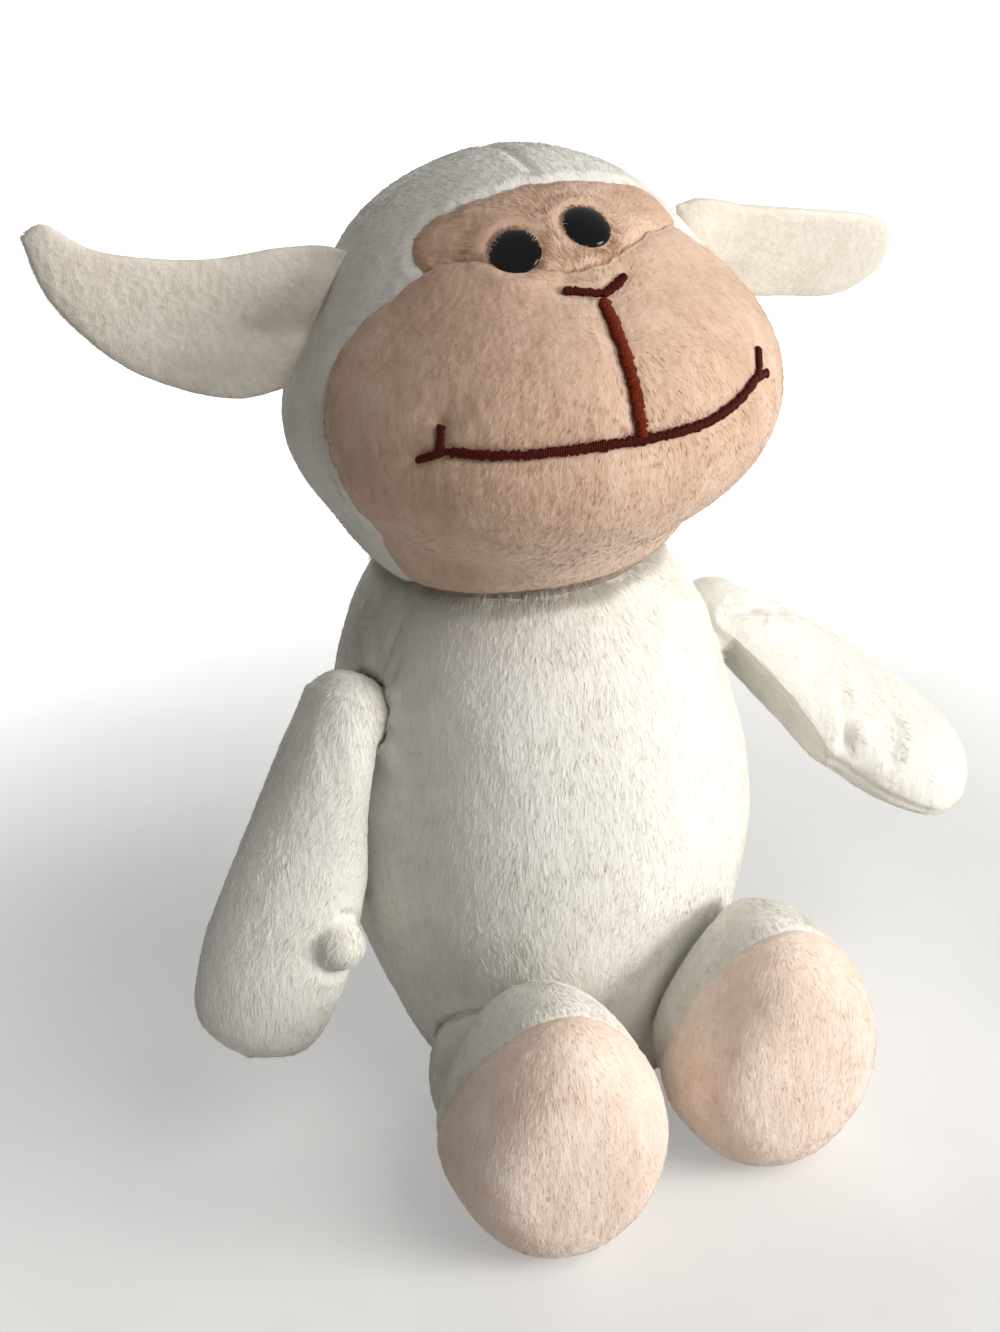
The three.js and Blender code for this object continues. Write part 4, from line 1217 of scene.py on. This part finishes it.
def seen_directly(tree):
    """One for rays from the camera, also by way of gloss or glass."""
    path = add(tree, "ShaderNodeLightPath").outputs
    seen = add(tree, "ShaderNodeMath", {0: path["Is Camera Ray"], 1: path["Is Glossy Ray"]})
    seen = add(tree, "ShaderNodeMath", {0: seen.outputs[0], 1: path["Is Transmission Ray"]})
    return seen.outputs[0]


def make_stage():
    mesh = bpy.data.meshes.new("floor")
    corners = [(-FLOOR, -FLOOR, 0), (FLOOR, -FLOOR, 0), (FLOOR, FLOOR, 0), (-FLOOR, FLOOR, 0)]
    mesh.from_pydata(corners, [], [(0, 1, 2, 3)])
    floor = placed("floor", mesh)
    material, tree, shader = nodes_of("floor_white")
    colour, _ = mottled(tree, ("cfcfcd", "d3d3d1", "d7d6d4"), ((60, 1.0),))
    feed(tree, shader, {"Base Color": colour, "Roughness": 0.9, "Specular IOR Level": 0.1})
    # The floor's glow is weaker close to the toy, from 0.11 m out to 0.36 m. This is a painted shadow halo
    # round the toy, added to the real shadows the lamps cast on the floor.
    place = add(tree, "ShaderNodeTexCoord").outputs["Object"]
    far = add(tree, "ShaderNodeVectorMath", {0: place}, operation="LENGTH")
    painted_halo = add(tree, "ShaderNodeMapRange", {
        "Value": far.outputs["Value"], "From Min": 0.11, "From Max": 0.36, "To Min": 0.3, "To Max": 1.0,
    }, interpolation_type="SMOOTHSTEP")
    seen = seen_directly(tree)
    glow = add(tree, "ShaderNodeMath", {0: seen, 1: painted_halo.outputs["Result"]}, operation="MULTIPLY")
    light = add(tree, "ShaderNodeEmission", {"Color": (1, 1, 1, 1), "Strength": glow.outputs[0]})
    both = add(tree, "ShaderNodeAddShader", {0: shader.outputs[0], 1: light.outputs[0]})
    tree.links.new(both.outputs[0], tree.nodes["Material Output"].inputs["Surface"])
    mesh.materials.append(material)

    world = bpy.data.worlds.new("studio")
    bpy.context.scene.world = world
    world.use_nodes = True
    tree = world.node_tree
    tree.nodes.clear()
    dim = add(tree, "ShaderNodeBackground", {"Color": (1.0, 0.99, 0.97, 1), "Strength": 0.125})
    bright = add(tree, "ShaderNodeBackground", {"Color": (1, 1, 1, 1), "Strength": 1.0})
    mix = add(tree, "ShaderNodeMixShader", {0: seen_directly(tree), 1: dim.outputs[0], 2: bright.outputs[0]})
    out = add(tree, "ShaderNodeOutputWorld")
    tree.links.new(mix.outputs[0], out.inputs["Surface"])


def lamp(name, place, size, power, colour, mirrored=True):
    light = bpy.data.lights.new(name, "AREA")
    light.shape = "DISK"
    light.size = size
    light.energy = power
    light.color = colour
    obj = placed(name, light)
    obj.location = place
    obj.visible_glossy = mirrored
    aim = Vector((0, 0, 0.1)) - Vector(place)
    obj.rotation_mode = "QUATERNION"
    obj.rotation_quaternion = aim.to_track_quat("-Z", "Y")


def make_camera():
    data = bpy.data.cameras.new("camera")
    data.sensor_width = 36
    data.lens = PHOTO_FOCUS * data.sensor_width / PHOTO_HEIGHT
    data.clip_start, data.clip_end = 0.01, 40
    obj = placed("camera", data)
    place = CAMERA_AIM + CAMERA_BACK * CAMERA_DISTANCE
    rotation = Matrix((CAMERA_RIGHT, CAMERA_UP, CAMERA_BACK)).transposed().to_4x4()
    obj.matrix_world = Matrix.Translation(place * MM) @ rotation
    bpy.context.scene.camera = obj


make_stage()
lamp("key", (0.9, -1.0, 0.36), 0.55, 15.8, (1.0, 0.985, 0.96))
lamp("top", (0.3, -0.9, 1.1), 0.9, 7.5, (1.0, 0.99, 0.98), False)
lamp("back", (0.5, 1.3, 0.6), 1.0, 7, (1.0, 0.99, 0.98), False)
make_camera()
bpy.context.scene.view_settings.view_transform = "Standard"
